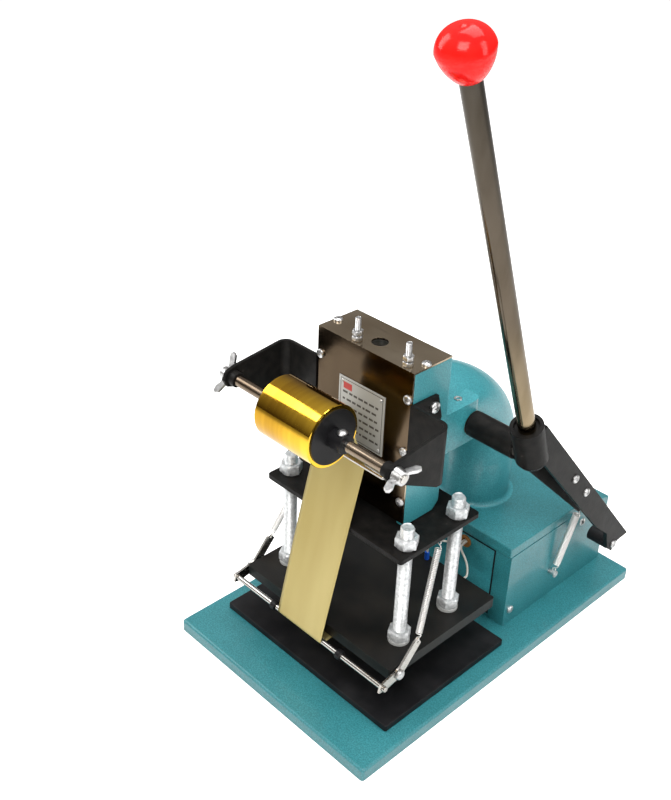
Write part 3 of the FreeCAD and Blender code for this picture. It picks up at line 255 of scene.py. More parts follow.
def placed(name, shape, material, body, nodes, smooth=35):
    """An object from a bmesh, smooth up to an angle, that rides on a body and stands for CAD nodes."""
    mesh = bpy.data.meshes.new(name)
    shape.to_mesh(mesh)
    shape.free()
    mesh.materials.clear()
    mesh.materials.append(material)
    mesh.shade_smooth()
    mesh.set_sharp_from_angle(angle=math.radians(smooth))
    piece = bpy.data.objects.new(name, mesh)
    scene.collection.objects.link(piece)
    if body:
        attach(piece, body)
    if nodes:
        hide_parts(*nodes)
    return piece


def eased(node, name, material, ease=0.0005, sharp=38):
    """A copy of a CAD solid with its corners eased, standing for it."""
    shape = merged_copy(node)
    corners = [edge for edge in shape.edges
               if len(edge.link_faces) == 2 and edge.calc_face_angle(0) > math.radians(sharp)]
    if ease and corners:
        bmesh.ops.bevel(shape, geom=corners, offset=ease, offset_type="OFFSET", segments=2, profile=0.5,
                        affect="EDGES", clamp_overlap=True)
    piece = placed(name, shape, material, frame["nodes"][node]["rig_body"], [node], sharp)
    weighted = piece.modifiers.new("weighted", "WEIGHTED_NORMAL")
    weighted.keep_sharp = True
    return piece


def coat_node(node, material):
    """A CAD node keeps its shape and takes a finish."""
    mesh = frame["nodes"][node].data
    mesh.materials.clear()
    mesh.materials.append(material)


eased("base_plate", "enamelled_base", teal_enamel, 0)
pad_rubber, pad_shader = shaded("pad_rubber", (0.012, 0.012, 0.013), 0.5)
pad_shader.inputs["Specular IOR Level"].default_value = 0.2
dusty = ramp(pad_rubber, grain(pad_rubber, 35, 5),
             [(0.42, (0.005, 0.005, 0.006)), (0.75, (0.016, 0.016, 0.017))])
pad_rubber.node_tree.links.new(dusty, pad_shader.inputs["Base Color"])
bumped(pad_rubber, pad_shader, grain(pad_rubber, 1500, 2), 0.0001, 0.3)
roughened(pad_rubber, pad_shader, grain(pad_rubber, 60, 3), 0.38, 0.6)
eased("work_pad", "rubber_pad", pad_rubber, 0.0008)

# ---- Housing: shell, lid and inset front panel ---------------------------------------------------
# A folded steel box, enamelled like the base, holds the controller. Its thick lid
# slopes at the back. The front panel sits in a doorway with a black rubber seal.
eased("housing_shell", "enamelled_housing", teal_enamel, 0.0012)
eased("housing_lid", "enamelled_lid", teal_enamel, 0.0013)
# Painted light: a lighter copy of the same teal enamel, for the front panel, the casting and the cheeks, where the
# light falls brighter.
painted_light_teal = teal_enamel.copy()
painted_light_teal.name = "teal_enamel_painted_light"
painted_light_fleck = next(node for node in painted_light_teal.node_tree.nodes if node.type == "MIX" and node.blend_type == "MIX")
painted_light_fleck.inputs[6].default_value = (0.028, 0.225, 0.262, 1)
painted_light_fleck.inputs[7].default_value = (0.060, 0.360, 0.415, 1)
eased("front_panel", "enamelled_panel", painted_light_teal, 0.0004)
coat_node("panel_seals", pad_rubber)
grommet_tan, grommet_shader = shaded("grommet_tan", (0.30, 0.13, 0.03), 0.5)
roughened(grommet_tan, grommet_shader, grain(grommet_tan, 200, 2), 0.42, 0.6)
GROMMET_CENTRE = Vector((0.034, 0.0285, 0.082))
seal_mesh = frame["nodes"]["panel_seals"].data
seal_mesh.materials.append(grommet_tan)
for part in seal_mesh.polygons:
    part.material_index = 1 if (part.center - GROMMET_CENTRE).length < 0.0085 else 0

# ---- Casting: column, elbow, arm and shaft block -------------------------------------------------
# One iron casting, cleaned by hand and enamelled, so its skin is slightly uneven
# under the paint. Bronze bushes carry the lever shaft in its block.
# The casting's enamel copies the lighter enamel, so it carries the same painted light.
cast_enamel = painted_light_teal.copy()
cast_enamel.name = "teal_enamel_on_casting"
cast_bump = next(node for node in cast_enamel.node_tree.nodes if node.type == "BUMP")
uneven = add_node(cast_enamel, "ShaderNodeBump", Strength=0.5, Distance=0.0016)
cast_enamel.node_tree.links.new(grain(cast_enamel, 55, 3), uneven.inputs["Height"])
cast_enamel.node_tree.links.new(uneven.outputs["Normal"], cast_bump.inputs["Normal"])

eased("head_casting", "gooseneck_casting", cast_enamel, 0.0009, 28)
bronze, bronze_shader = shaded("bush_bronze", (0.46, 0.29, 0.12), 0.34, 1.0)
bumped(bronze, bronze_shader, grain(bronze, 900, 2), 0.00005, 0.3)
roughened(bronze, bronze_shader, grain(bronze, 200, 2), 0.25, 0.45)
eased("shaft_bushes", "bronze_bushes", bronze, 0.0004)

# ---- Head: cheeks, top plate, gibs, cover, adjusters and name plate ------------------------------
# Two thick enamelled cheeks hold the ram's gibs. A polished stainless sheet, bent over
# the top, closes the front; two studs with double nuts stand out of it.
# The cheeks take the lighter enamel copy: painted light.
eased("head_cheeks", "enamelled_cheeks", painted_light_teal, 0.0008)
ground_steel, ground_shader = shaded("ground_steel", (0.50, 0.49, 0.47), 0.28, 1.0)
streaked = grain(ground_steel, 40, 4, (1, 1, 18))
ground_steel.node_tree.links.new(ramp(ground_steel, streaked, [(0.3, (0.36, 0.35, 0.33)), (0.7, (0.60, 0.59, 0.56))]),
                                 ground_shader.inputs["Base Color"])
roughened(ground_steel, ground_shader, grain(ground_steel, 300, 3), 0.2, 0.42)
for node in ("head_top", "ram_gibs"):
    coat_node(node, ground_steel)
polished_sheet, sheet_shader = shaded("polished_stainless", (0.58, 0.53, 0.46), 0.13, 1.0)
sheet_tone = ramp(polished_sheet, grain(polished_sheet, 9, 3, (1, 1, 0.5)),
                  [(0.30, (0.34, 0.26, 0.17)), (0.52, (0.52, 0.44, 0.33)), (0.72, (0.66, 0.60, 0.52))])
sheet_scratch = ramp(polished_sheet, grain(polished_sheet, 380, 4, (0.12, 1, 1)),
                     [(0.60, (1, 1, 1)), (0.78, (0.8, 0.8, 0.8))])
polished_sheet.node_tree.links.new(mixed(polished_sheet, sheet_tone, sheet_scratch, 1.0, "MULTIPLY"),
                                   sheet_shader.inputs["Base Color"])
roughened(polished_sheet, sheet_shader, grain(polished_sheet, 120, 4, (0.2, 1, 1)), 0.07, 0.26)
cover = eased("head_cover", "stainless_cover", polished_sheet, 0.0004)
# Painted shade: the cover's front faces take a darker brown copy of the stainless, standing for the dark room that the
# polished front reflects.
painted_shade_stainless = polished_sheet.copy()
painted_shade_stainless.name = "stainless_front_painted_shade"
painted_shade_ramp = next(node for node in painted_shade_stainless.node_tree.nodes if node.type == "VALTORGB")
PAINTED_SHADE_BROWNS = ((0.064, 0.044, 0.026), (0.135, 0.096, 0.060), (0.235, 0.180, 0.122))
for element, colour in zip(painted_shade_ramp.color_ramp.elements, PAINTED_SHADE_BROWNS):
    element.color = (*colour, 1)
cover.data.materials.append(painted_shade_stainless)
for part in cover.data.polygons:
    part.material_index = 1 if part.normal.y < -0.5 else 0

zinc, zinc_shader = shaded("zinc_plate", (0.66, 0.66, 0.65), 0.3, 1.0)
zinc_tone = ramp(zinc, grain(zinc, 260, 4), [(0.32, (0.46, 0.46, 0.46)), (0.66, (0.74, 0.74, 0.74))])
zinc.node_tree.links.new(zinc_tone, zinc_shader.inputs["Base Color"])
roughened(zinc, zinc_shader, grain(zinc, 420, 3), 0.2, 0.44)


stud_zinc, stud_shader = shaded("dull_zinc", (0.72, 0.74, 0.75), 0.5, 0.55)
stud_tone = ramp(stud_zinc, grain(stud_zinc, 320, 4),
                 [(0.32, (0.50, 0.52, 0.53)), (0.66, (0.84, 0.86, 0.87))])
stud_zinc.node_tree.links.new(stud_tone, stud_shader.inputs["Base Color"])
roughened(stud_zinc, stud_shader, grain(stud_zinc, 420, 3), 0.34, 0.56)


def node_tree(name, inputs):
    """An empty geometry tree with named number inputs, and its group input and output nodes."""
    tree = bpy.data.node_groups.new(name, "GeometryNodeTree")
    tree.interface.new_socket("Geometry", in_out="INPUT", socket_type="NodeSocketGeometry")
    for label, kind in inputs:
        tree.interface.new_socket(label, in_out="INPUT", socket_type=kind)
    tree.interface.new_socket("Geometry", in_out="OUTPUT", socket_type="NodeSocketGeometry")
    return tree, tree.nodes.new("NodeGroupInput"), tree.nodes.new("NodeGroupOutput")


def grown(name, points, tree, values):
    """A plain mesh that a geometry tree grows from points."""
    mesh = bpy.data.meshes.new(f"{name}_points")
    mesh.from_pydata([tuple(point) for point in points], [], [])
    seed = bpy.data.objects.new(f"{name}_seed", mesh)
    scene.collection.objects.link(seed)
    modifier = seed.modifiers.new("grow", "NODES")
    modifier.node_group = tree
    for item in tree.interface.items_tree:
        if item.item_type == "SOCKET" and item.in_out == "INPUT" and item.name in values:
            modifier[item.identifier] = values[item.name]
    bpy.context.view_layer.update()
    result = bpy.data.meshes.new_from_object(seed.evaluated_get(bpy.context.evaluated_depsgraph_get()))
    bpy.data.objects.remove(seed)
    shape = bmesh.new()
    shape.from_mesh(result)
    return shape


def wired(tree, kind, links=(), **values):
    """A geometry node with inputs set or linked."""
    node = tree.nodes.new(kind)
    for key, value in values.items():
        if key in node.inputs:
            node.inputs[key].default_value = value
        else:
            setattr(node, key, value)
    for key, source in links:
        tree.links.new(source, node.inputs[key])
    return node


def calculated(tree, operation, first, second):
    """A math node on two values or sockets."""
    node = tree.nodes.new("ShaderNodeMath")
    node.operation = operation
    for socket, value in ((node.inputs[0], first), (node.inputs[1], second)):
        if isinstance(value, bpy.types.NodeSocket):
            tree.links.new(value, socket)
        else:
            socket.default_value = value
    return node.outputs[0]


# A screw thread: one ridge wound round a core, stood at each point.
thread_tree, thread_in, thread_out = node_tree("screw_thread", [
    ("Radius", "NodeSocketFloat"), ("Length", "NodeSocketFloat"), ("Pitch", "NodeSocketFloat"),
    ("Finish", "NodeSocketMaterial")])
ridge_reach = calculated(thread_tree, "MULTIPLY", thread_in.outputs["Pitch"], 0.5)
helix_radius = calculated(thread_tree, "SUBTRACT", thread_in.outputs["Radius"], ridge_reach)
turns = calculated(thread_tree, "DIVIDE", thread_in.outputs["Length"], thread_in.outputs["Pitch"])
core_radius = calculated(thread_tree, "ADD", helix_radius,
                         calculated(thread_tree, "MULTIPLY", ridge_reach, 0.10))
helix = wired(thread_tree, "GeometryNodeCurveSpiral",
              [("Rotations", turns), ("Start Radius", helix_radius), ("End Radius", helix_radius),
               ("Height", thread_in.outputs["Length"])], Resolution=22)
upright = wired(thread_tree, "GeometryNodeSetCurveNormal", [("Curve", helix.outputs["Curve"])])
upright.mode = "Z_UP"
ridge = wired(thread_tree, "GeometryNodeCurvePrimitiveCircle", [("Radius", ridge_reach)], Resolution=4)
swept = wired(thread_tree, "GeometryNodeCurveToMesh",
              [("Curve", upright.outputs["Curve"]), ("Profile Curve", ridge.outputs["Curve"])])
core = wired(thread_tree, "GeometryNodeMeshCylinder",
             [("Radius", core_radius), ("Depth", thread_in.outputs["Length"])], Vertices=22)
half_length = calculated(thread_tree, "MULTIPLY", thread_in.outputs["Length"], 0.5)
lift = wired(thread_tree, "ShaderNodeCombineXYZ", [("Z", half_length)])
raised = wired(thread_tree, "GeometryNodeTransform",
               [("Geometry", core.outputs["Mesh"]), ("Translation", lift.outputs[0])])
joined = wired(thread_tree, "GeometryNodeJoinGeometry")
thread_tree.links.new(swept.outputs["Mesh"], joined.inputs[0])
thread_tree.links.new(raised.outputs["Geometry"], joined.inputs[0])
stood = wired(thread_tree, "GeometryNodeInstanceOnPoints",
              [("Points", thread_in.outputs["Geometry"]), ("Instance", joined.outputs["Geometry"])])
real = wired(thread_tree, "GeometryNodeRealizeInstances", [("Geometry", stood.outputs["Instances"])])
finished = wired(thread_tree, "GeometryNodeSetMaterial",
                 [("Geometry", real.outputs["Geometry"]), ("Material", thread_in.outputs["Finish"])])
thread_tree.links.new(finished.outputs["Geometry"], thread_out.inputs["Geometry"])


def nut_shape(shape, across, high, hole, place):
    """A hexagon nut with its corners turned off top and bottom, added to a bmesh."""
    around, chamfer = 48, 0.13 * across
    rings = []
    flat_half = across / 2
    for level, reach in ((0, flat_half * 0.96), (chamfer * 0.55, 2), (high - chamfer * 0.55, 2),
                         (high, flat_half * 0.96)):
        ring = []
        for step in range(around):
            turn = 2 * math.pi * step / around
            to_flat = (turn % (math.pi / 3)) - math.pi / 6
            radius = min(flat_half / math.cos(to_flat), reach)
            ring.append(shape.verts.new(place + Vector((radius * math.cos(turn), radius * math.sin(turn), level))))
        rings.append(ring)
    for level in (high, high - 0.06 * across, 0.06 * across, 0):
        opening = hole * (1.12 if level in (high, 0) else 1)
        rings.append([shape.verts.new(place + Vector((opening * math.cos(turn), opening * math.sin(turn), level)))
                      for turn in (2 * math.pi * step / around for step in range(around))])
    for number, ring in enumerate(rings):
        following = rings[(number + 1) % len(rings)]
        for step in range(around):
            forward = (step + 1) % around
            shape.faces.new((ring[step], ring[forward], following[forward], following[step]))


low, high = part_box("adjusters")
ADJUSTER_PLACES = [(-0.0145, -0.082), (0.0405, -0.082)]
ADJUSTER_RADIUS, ADJUSTER_PITCH, COVER_TOP = 0.0025, 0.0008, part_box("head_cover")[1].z
adjusters = grown("adjusters", [(x, y, low.z) for x, y in ADJUSTER_PLACES], thread_tree,
                  {"Radius": ADJUSTER_RADIUS, "Length": high.z - low.z - 0.0008, "Pitch": ADJUSTER_PITCH,
                   "Finish": zinc})
for x, y in ADJUSTER_PLACES:
    for lift in (0, 0.005):
        nut_shape(adjusters, 0.008, 0.004, ADJUSTER_RADIUS * 0.95, Vector((x, y, COVER_TOP + lift)))
bmesh.ops.recalc_face_normals(adjusters, faces=adjusters.faces)
placed("adjusting_studs", adjusters, zinc, "frame", ["adjusters"])

# The name plate is thin aluminium with printed rows and a red corner block, riveted at its corners.
plate_finish, plate_shader = shaded("printed_aluminium", (0.42, 0.42, 0.40), 0.4, 0.4)
roughened(plate_finish, plate_shader, grain(plate_finish, 500, 3, (0.1, 1, 1)), 0.28, 0.46)
eased("name_plate", "silver_name_plate", plate_finish, 0.0002)


def slab(shape, low_corner, high_corner):
    """A box between two corners, added to a bmesh."""
    made = bmesh.ops.create_cube(shape, size=1)["verts"]
    low_corner, high_corner = Vector(low_corner), Vector(high_corner)
    for vert in made:
        vert.co = Vector(low + (half + 0.5) * (top - low)
                         for low, half, top in zip(low_corner, vert.co, high_corner))


plate_low, plate_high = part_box("name_plate")
face = plate_low.y
ink_dark, _ = shaded("ink_dark", (0.05, 0.045, 0.04), 0.5)
ink_red, _ = shaded("ink_red", (0.45, 0.03, 0.02), 0.45)
printing = bmesh.new()
PRINT_THICK = 0.00012
for row in range(6):
    level = plate_high.z - 0.0145 - row * 0.0066
    dashes = random.Random(row)
    x = plate_low.x + 0.005
    while x < plate_high.x - 0.008:
        run = dashes.uniform(0.002, 0.006)
        slab(printing, (x, face - PRINT_THICK, level), (min(x + run, plate_high.x - 0.005), face, level + 0.0019))
        x += run + dashes.uniform(0.001, 0.0022)
for level in (plate_high.z - 0.0022, plate_low.z + 0.0017):
    slab(printing, (plate_low.x + 0.002, face - PRINT_THICK, level), (plate_high.x - 0.002, face, level + 0.0005))
for x in (plate_low.x + 0.002, plate_high.x - 0.0025):
    slab(printing, (x, face - PRINT_THICK, plate_low.z + 0.002), (x + 0.0005, face, plate_high.z - 0.002))
placed("plate_rows", printing, ink_dark, "frame", [])
red_block = bmesh.new()
slab(red_block, (plate_low.x + 0.0055, face - PRINT_THICK, plate_high.z - 0.0105),
     (plate_low.x + 0.0150, face, plate_high.z - 0.0045))
placed("plate_red_block", red_block, ink_red, "frame", [])


def dome(shape, place, axis, radius, high, around=20):
    """A low rivet dome that stands on a face, added to a bmesh."""
    turn = Vector((0, 0, 1)).rotation_difference(Vector(axis))
    rings = []
    for share in (0, 0.35, 0.65, 0.88):
        reach, level = radius * math.cos(share * math.pi / 2), high * math.sin(share * math.pi / 2)
        rings.append([shape.verts.new(Vector(place) + turn @ Vector(
            (reach * math.cos(a), reach * math.sin(a), level)))
            for a in (2 * math.pi * step / around for step in range(around))])
    for first, second in zip(rings, rings[1:]):
        for step in range(around):
            forward = (step + 1) % around
            shape.faces.new((first[step], first[forward], second[forward], second[step]))
    shape.faces.new(rings[-1])
    shape.faces.new(rings[0][::-1])


rivets = bmesh.new()
for x in (plate_low.x + 0.004, plate_high.x - 0.004):
    for z in (plate_low.z + 0.0045, plate_high.z - 0.0045):
        dome(rivets, (x, face, z), (0, -1, 0), 0.0015, 0.0008)
placed("plate_rivets", rivets, zinc, "frame", [])
eased("pan_screws", "cross_screws", zinc, 0.00012)

# ---- Foil brackets, shaft, spacers, wing nuts and web rod ----------------------------------------
# Each bracket is cut and bent from 3 mm steel and sprayed semi-gloss black. A plain
# steel shaft runs between them, through two ground spacer tubes, with wing nuts outside.
black_enamel, black_shader = shaded("black_enamel", (0.009, 0.009, 0.009), 0.4)
black_shader.inputs["Specular IOR Level"].default_value = 0.08
worn = ramp(black_enamel, grain(black_enamel, 120, 5), [(0.30, (0.006, 0.006, 0.006)), (0.70, (0.014, 0.013, 0.012)),
                                                         (0.80, (0.05, 0.045, 0.04))])
black_enamel.node_tree.links.new(worn, black_shader.inputs["Base Color"])
bumped(black_enamel, black_shader, grain(black_enamel, 500, 3), 0.00018, 0.35)
roughened(black_enamel, black_shader, grain(black_enamel, 45, 3), 0.28, 0.46)
eased("foil_brackets", "black_brackets", black_enamel, 0.0005)
bright_steel, bright_shader = shaded("bright_steel", (0.60, 0.58, 0.55), 0.2, 1.0)
bright_tone = ramp(bright_steel, grain(bright_steel, 60, 4, (0.25, 1, 1)),
                   [(0.3, (0.40, 0.38, 0.35)), (0.7, (0.68, 0.66, 0.63))])
bright_steel.node_tree.links.new(bright_tone, bright_shader.inputs["Base Color"])
roughened(bright_steel, bright_shader, grain(bright_steel, 260, 3, (0.3, 1, 1)), 0.12, 0.34)
eased("foil_shaft", "roll_shaft", bright_steel, 0.0004)
browned_steel = bright_steel.copy()
browned_steel.name = "browned_steel"
brown = next(node for node in browned_steel.node_tree.nodes if node.type == "VALTORGB")
for element, colour in zip(brown.color_ramp.elements, ((0.13, 0.095, 0.065), (0.34, 0.27, 0.20))):
    element.color = (*colour, 1)
spacers = eased("shaft_spacers", "spacer_tubes", browned_steel, 0.0004)
spacers.data.materials.append(black_enamel)
COLLAR_START = 0.0836
for part in spacers.data.polygons:
    part.material_index = 1 if abs(part.center.x) > COLLAR_START else 0
eased("wing_nut_right", "right_wing_nut", zinc, 0.0006)
eased("wing_nut_left", "left_wing_nut", zinc, 0.0006)
eased("web_rod", "web_wire", bright_steel, 0)

# ---- Foil roll -----------------------------------------------------------------------------------
# Hot stamping film wound tight on a card tube: bright gold outside, and its end shows
# the edges of hundreds of turns. A moulded black plug with a set screw grips each end.
gold_film, gold_shader = shaded("gold_film", (0.80, 0.46, 0.05), 0.12, 1.0)
bands = grain(gold_film, 55, 3, (1, 0.02, 0.02))
gold_film.node_tree.links.new(ramp(gold_film, bands, [(0.35, (0.46, 0.24, 0.02)), (0.65, (0.92, 0.56, 0.05))]),
                              gold_shader.inputs["Base Color"])
roughened(gold_film, gold_shader, grain(gold_film, 160, 3, (1, 0.1, 0.1)), 0.05, 0.15)
wound_edge, wound_shader = shaded("wound_edge", (0.72, 0.57, 0.24), 0.42, 0.25)
roll_axis = Vector((0, -0.148, 0.271))
place = add_node(wound_edge, "ShaderNodeTexCoord")
centred = add_node(wound_edge, "ShaderNodeMapping")
centred.inputs["Location"].default_value = (0, -roll_axis.y, -roll_axis.z)
rings = add_node(wound_edge, "ShaderNodeTexWave", wave_type="RINGS", rings_direction="X",
                 Scale=520, Distortion=0.4)
wound_edge.node_tree.links.new(place.outputs["Object"], centred.inputs["Vector"])
wound_edge.node_tree.links.new(centred.outputs["Vector"], rings.inputs["Vector"])
wound_edge.node_tree.links.new(ramp(wound_edge, rings.outputs["Fac"], [(0.2, (0.52, 0.40, 0.15)), (0.8, (0.88, 0.76, 0.42))]),
                               wound_shader.inputs["Base Color"])
roughened(wound_edge, wound_shader, rings.outputs["Fac"], 0.3, 0.5)
roll_low, roll_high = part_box("foil_roll")
ROLL_RADIUS, CORE_RADIUS, AROUND = (roll_high.z - roll_low.z) / 2, 0.017, 128


def spun(shape, profile, centre, around=AROUND, closed=True):
    """A solid turned about the X axis through a centre, from (x, radius) points, added to a bmesh."""
    rings = [[shape.verts.new((x, centre.y + radius * math.cos(a), centre.z + radius * math.sin(a)))
              for a in (2 * math.pi * step / around for step in range(around))] for x, radius in profile]
    pairs = list(zip(rings, rings[1:])) + ([(rings[-1], rings[0])] if closed else [])
    faces = []
    for first, second in pairs:
        for step in range(around):
            forward = (step + 1) % around
            faces.append(shape.faces.new((first[step], second[step], second[forward], first[forward])))
    return faces


roll = bmesh.new()
LIP = 0.0004
spun(roll, [(roll_low.x, CORE_RADIUS), (roll_low.x, ROLL_RADIUS - LIP), (roll_low.x + LIP, ROLL_RADIUS),
            (roll_high.x - LIP, ROLL_RADIUS), (roll_high.x, ROLL_RADIUS - LIP), (roll_high.x, CORE_RADIUS)], roll_axis)
bmesh.ops.recalc_face_normals(roll, faces=roll.faces)
for part in roll.faces:
    part.material_index = 1 if abs(part.normal.x) > 0.9 else 0
gold_roll = placed("gold_foil_roll", roll, gold_film, "roll", ["foil_roll"])
gold_roll.data.materials.append(wound_edge)
card, card_shader = shaded("card_tube", (0.42, 0.32, 0.20), 0.8)
bumped(card, card_shader, grain(card, 900, 3), 0.0001, 0.4)
roughened(card, card_shader, grain(card, 200, 2), 0.7, 0.9)
coat_node("roll_core", card)
moulded, moulded_shader = shaded("moulded_black", (0.008, 0.008, 0.009), 0.4)
moulded_shader.inputs["Specular IOR Level"].default_value = 0.2
bumped(moulded, moulded_shader, grain(moulded, 700, 2), 0.00008, 0.3)
roughened(moulded, moulded_shader, grain(moulded, 90, 3), 0.3, 0.46)
block_screw = bmesh.new()
SET_SCREW_PLACE = Vector((0.0385, -0.0128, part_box("shaft_bushes")[1].z + 0.0105))
nut_shape(block_screw, 0.0066, 0.0010, 0.0018, SET_SCREW_PLACE)
bmesh.ops.recalc_face_normals(block_screw, faces=block_screw.faces)
placed("block_set_screw", block_screw, zinc, "frame", [], 25)
eased("roll_flanges", "roll_plugs", moulded, 0.0009)
eased("flange_screws", "plug_set_screws", zinc, 0.00012)

# ---- Ram, rack and pinion ------------------------------------------------------------------------
# The ram is a ground steel block that slides between the gibs. A rack is screwed to
# its back, and the pinion cut on the lever shaft drives it down.
eased("ram", "ground_ram", ground_steel, 0.0004)
eased("pinion_shaft", "pinion_and_shaft", ground_steel, 0.0003)
eased("shaft_collar", "left_collar", zinc, 0.0006)

# ---- Lever: sleeve, socket, tube and knob --------------------------------------------------------
# The black sleeve and the slanting socket are welded together, and a grub screw holds
# them to the shaft. A chromed tube stands in the socket and carries a glossy red knob.
eased("shaft_sleeve", "black_sleeve", black_enamel, 0.0007)
eased("lever_socket", "black_socket", black_enamel, 0.0012)
# The chrome's colour is painted reflection: a dark brown base, warm tan at the tube's foot darkening to dark brown up
# the tube, and dark streaks along its length, standing for the bench and room seen in the chrome.
chrome, chrome_shader = shaded("chromed_tube", (0.20, 0.165, 0.12), 0.14, 1.0)
axis_turn = math.radians(21.1)
along_tube = grain(chrome, 70, 4, (1, 1, 0.06), (-axis_turn, 0, 0))
tube_place = add_node(chrome, "ShaderNodeTexCoord")
tube_axes = add_node(chrome, "ShaderNodeSeparateXYZ")
painted_reflection_height = add_node(chrome, "ShaderNodeMapRange")
painted_reflection_height.inputs["From Min"].default_value = 0.27
painted_reflection_height.inputs["From Max"].default_value = 0.57
chrome.node_tree.links.new(tube_place.outputs["Object"], tube_axes.inputs["Vector"])
chrome.node_tree.links.new(tube_axes.outputs["Z"], painted_reflection_height.inputs["Value"])
painted_reflection_tone = ramp(chrome, painted_reflection_height.outputs["Result"], [(0.0, (0.34, 0.27, 0.17)), (0.35, (0.13, 0.105, 0.078)),
                                                        (1.0, (0.07, 0.062, 0.052))])
painted_reflection_streak = ramp(chrome, along_tube, [(0.32, (0.72, 0.70, 0.66)), (0.62, (1.0, 1.0, 1.0))])
chrome.node_tree.links.new(mixed(chrome, painted_reflection_tone, painted_reflection_streak, 1.0, "MULTIPLY"),
                           chrome_shader.inputs["Base Color"])
roughened(chrome, chrome_shader, grain(chrome, 150, 4), 0.10, 0.24)
LEVER_FOOT = Vector((0.1115, -0.004, 0.2345))
lever_frame = Matrix.Translation(LEVER_FOOT) @ Matrix.Rotation(axis_turn, 4, "X")


def turned(profile, frame_matrix, around=AROUND, closed=False):
    """A solid turned about a frame's Z axis, from (radius, height) points."""
    shape = bmesh.new()
    rings = []
    for radius, level in profile:
        if radius < 1e-7:
            rings.append([shape.verts.new(frame_matrix @ Vector((0, 0, level)))])
        else:
            rings.append([shape.verts.new(frame_matrix @ Vector((radius * math.cos(a), radius * math.sin(a), level)))
                          for a in (2 * math.pi * step / around for step in range(around))])
    pairs = list(zip(rings, rings[1:])) + ([(rings[-1], rings[0])] if closed else [])
    for first, second in pairs:
        for step in range(around):
            forward = (step + 1) % around
            corners = []
            for ring, order in ((first, (step, forward)), (second, (forward, step))):
                corners += [ring[0]] if len(ring) == 1 else [ring[i] for i in order]
            shape.faces.new(corners)
    bmesh.ops.recalc_face_normals(shape, faces=shape.faces)
    return shape


TUBE_RADIUS, TUBE_FOOT, TUBE_TOP = 0.0074, 0.010, 0.366
tube = turned([(0, TUBE_FOOT), (TUBE_RADIUS, TUBE_FOOT), (TUBE_RADIUS, TUBE_TOP), (0, TUBE_TOP)],
              lever_frame, 96)
placed("chromed_lever", tube, chrome, "lever", ["lever_tube"])

red_gloss, red_shader = shaded("red_phenolic", (0.74, 0.008, 0.008), 0.2, coat=0.06, coat_roughness=0.06)
red_shader.inputs["Specular IOR Level"].default_value = 0.18
red_gloss.node_tree.links.new(ramp(red_gloss, grain(red_gloss, 60, 3),
                                   [(0.3, (0.74, 0.006, 0.006)), (0.7, (0.90, 0.014, 0.010))]),
                              red_shader.inputs["Base Color"])
roughened(red_gloss, red_shader, grain(red_gloss, 120, 2), 0.12, 0.22)
KNOB_START, PARTING = 0.3445, 0.0167


def arc_points(start, middle, end, count):
    """Points on the circle through three (radius, height) points, from the first to the last."""
    (ax, ay), (bx, by), (cx, cy) = start, middle, end
    twice = 2 * (ax * (by - cy) + bx * (cy - ay) + cx * (ay - by))
    a2, b2, c2 = ax * ax + ay * ay, bx * bx + by * by, cx * cx + cy * cy
    ox = (a2 * (by - cy) + b2 * (cy - ay) + c2 * (ay - by)) / twice
    oy = (a2 * (cx - bx) + b2 * (ax - cx) + c2 * (bx - ax)) / twice
    reach = math.hypot(ax - ox, ay - oy)
    first, last = math.atan2(ay - oy, ax - ox), math.atan2(cy - oy, cx - ox)
    return [(ox + reach * math.cos(a), oy + reach * math.sin(a))
            for a in (first + (last - first) * step / count for step in range(count + 1))]


knob_profile = arc_points((0.0089, 0.0002), (0.0151, 0.0086), (0.01885, 0.0200), 20)
knob_profile += arc_points((0.01885, 0.0200), (0.0145, 0.0290), (0.0024, 0.0339), 22)[1:]
knob_profile = [(radius - (0.00016 if abs(level - PARTING) < 0.0005 else 0), level)
                for radius, level in knob_profile]
knob_profile += [(0.0009, 0.0345), (0, 0.0348)]
knob_frame = lever_frame @ Matrix.Translation((0, 0, KNOB_START))
knob = turned([(0, 0)] + knob_profile, knob_frame)
placed("red_knob", knob, red_gloss, "lever", ["lever_knob"], 50)

# ---- Crank bar, link, spacers and return spring --------------------------------------------------
# Two flat bars run back from the socket, held apart by tube spacers and cross-headed
# screws, with a rubber buffer at the tail. A nickel-plated spring pulls the tail down.
for node, name, ease in (("crank_bar", "black_crank_bar", 0.0006), ("crank_link", "black_link", 0.0005)):
    eased(node, name, black_enamel, ease)
eased("crank_spacers", "spacers_and_buffer", pad_rubber, 0.0005)
eased("crank_screws", "crank_cross_screws", zinc, 0.00012)
eased("spring_anchor", "spring_pin", zinc, 0.0003)

# A coil spring: wire wound round an axis, laid from one point to another.
spring_tree, spring_in, spring_out = node_tree("coil_spring", [
    ("Coil Radius", "NodeSocketFloat"), ("Wire Radius", "NodeSocketFloat"), ("Length", "NodeSocketFloat"),
    ("Turns", "NodeSocketFloat"), ("Turn Steps", "NodeSocketInt"), ("Slant", "NodeSocketRotation"),
    ("Finish", "NodeSocketMaterial")])
winding = wired(spring_tree, "GeometryNodeCurveSpiral",
                [("Rotations", spring_in.outputs["Turns"]), ("Start Radius", spring_in.outputs["Coil Radius"]),
                 ("End Radius", spring_in.outputs["Coil Radius"]), ("Height", spring_in.outputs["Length"]),
                 ("Resolution", spring_in.outputs["Turn Steps"])])
wire = wired(spring_tree, "GeometryNodeCurvePrimitiveCircle", [("Radius", spring_in.outputs["Wire Radius"])],
             Resolution=7)
coil = wired(spring_tree, "GeometryNodeCurveToMesh",
             [("Curve", winding.outputs["Curve"]), ("Profile Curve", wire.outputs["Curve"])])
coil.inputs["Fill Caps"].default_value = True
laid = wired(spring_tree, "GeometryNodeInstanceOnPoints",
             [("Points", spring_in.outputs["Geometry"]), ("Instance", coil.outputs["Mesh"]),
              ("Rotation", spring_in.outputs["Slant"])])
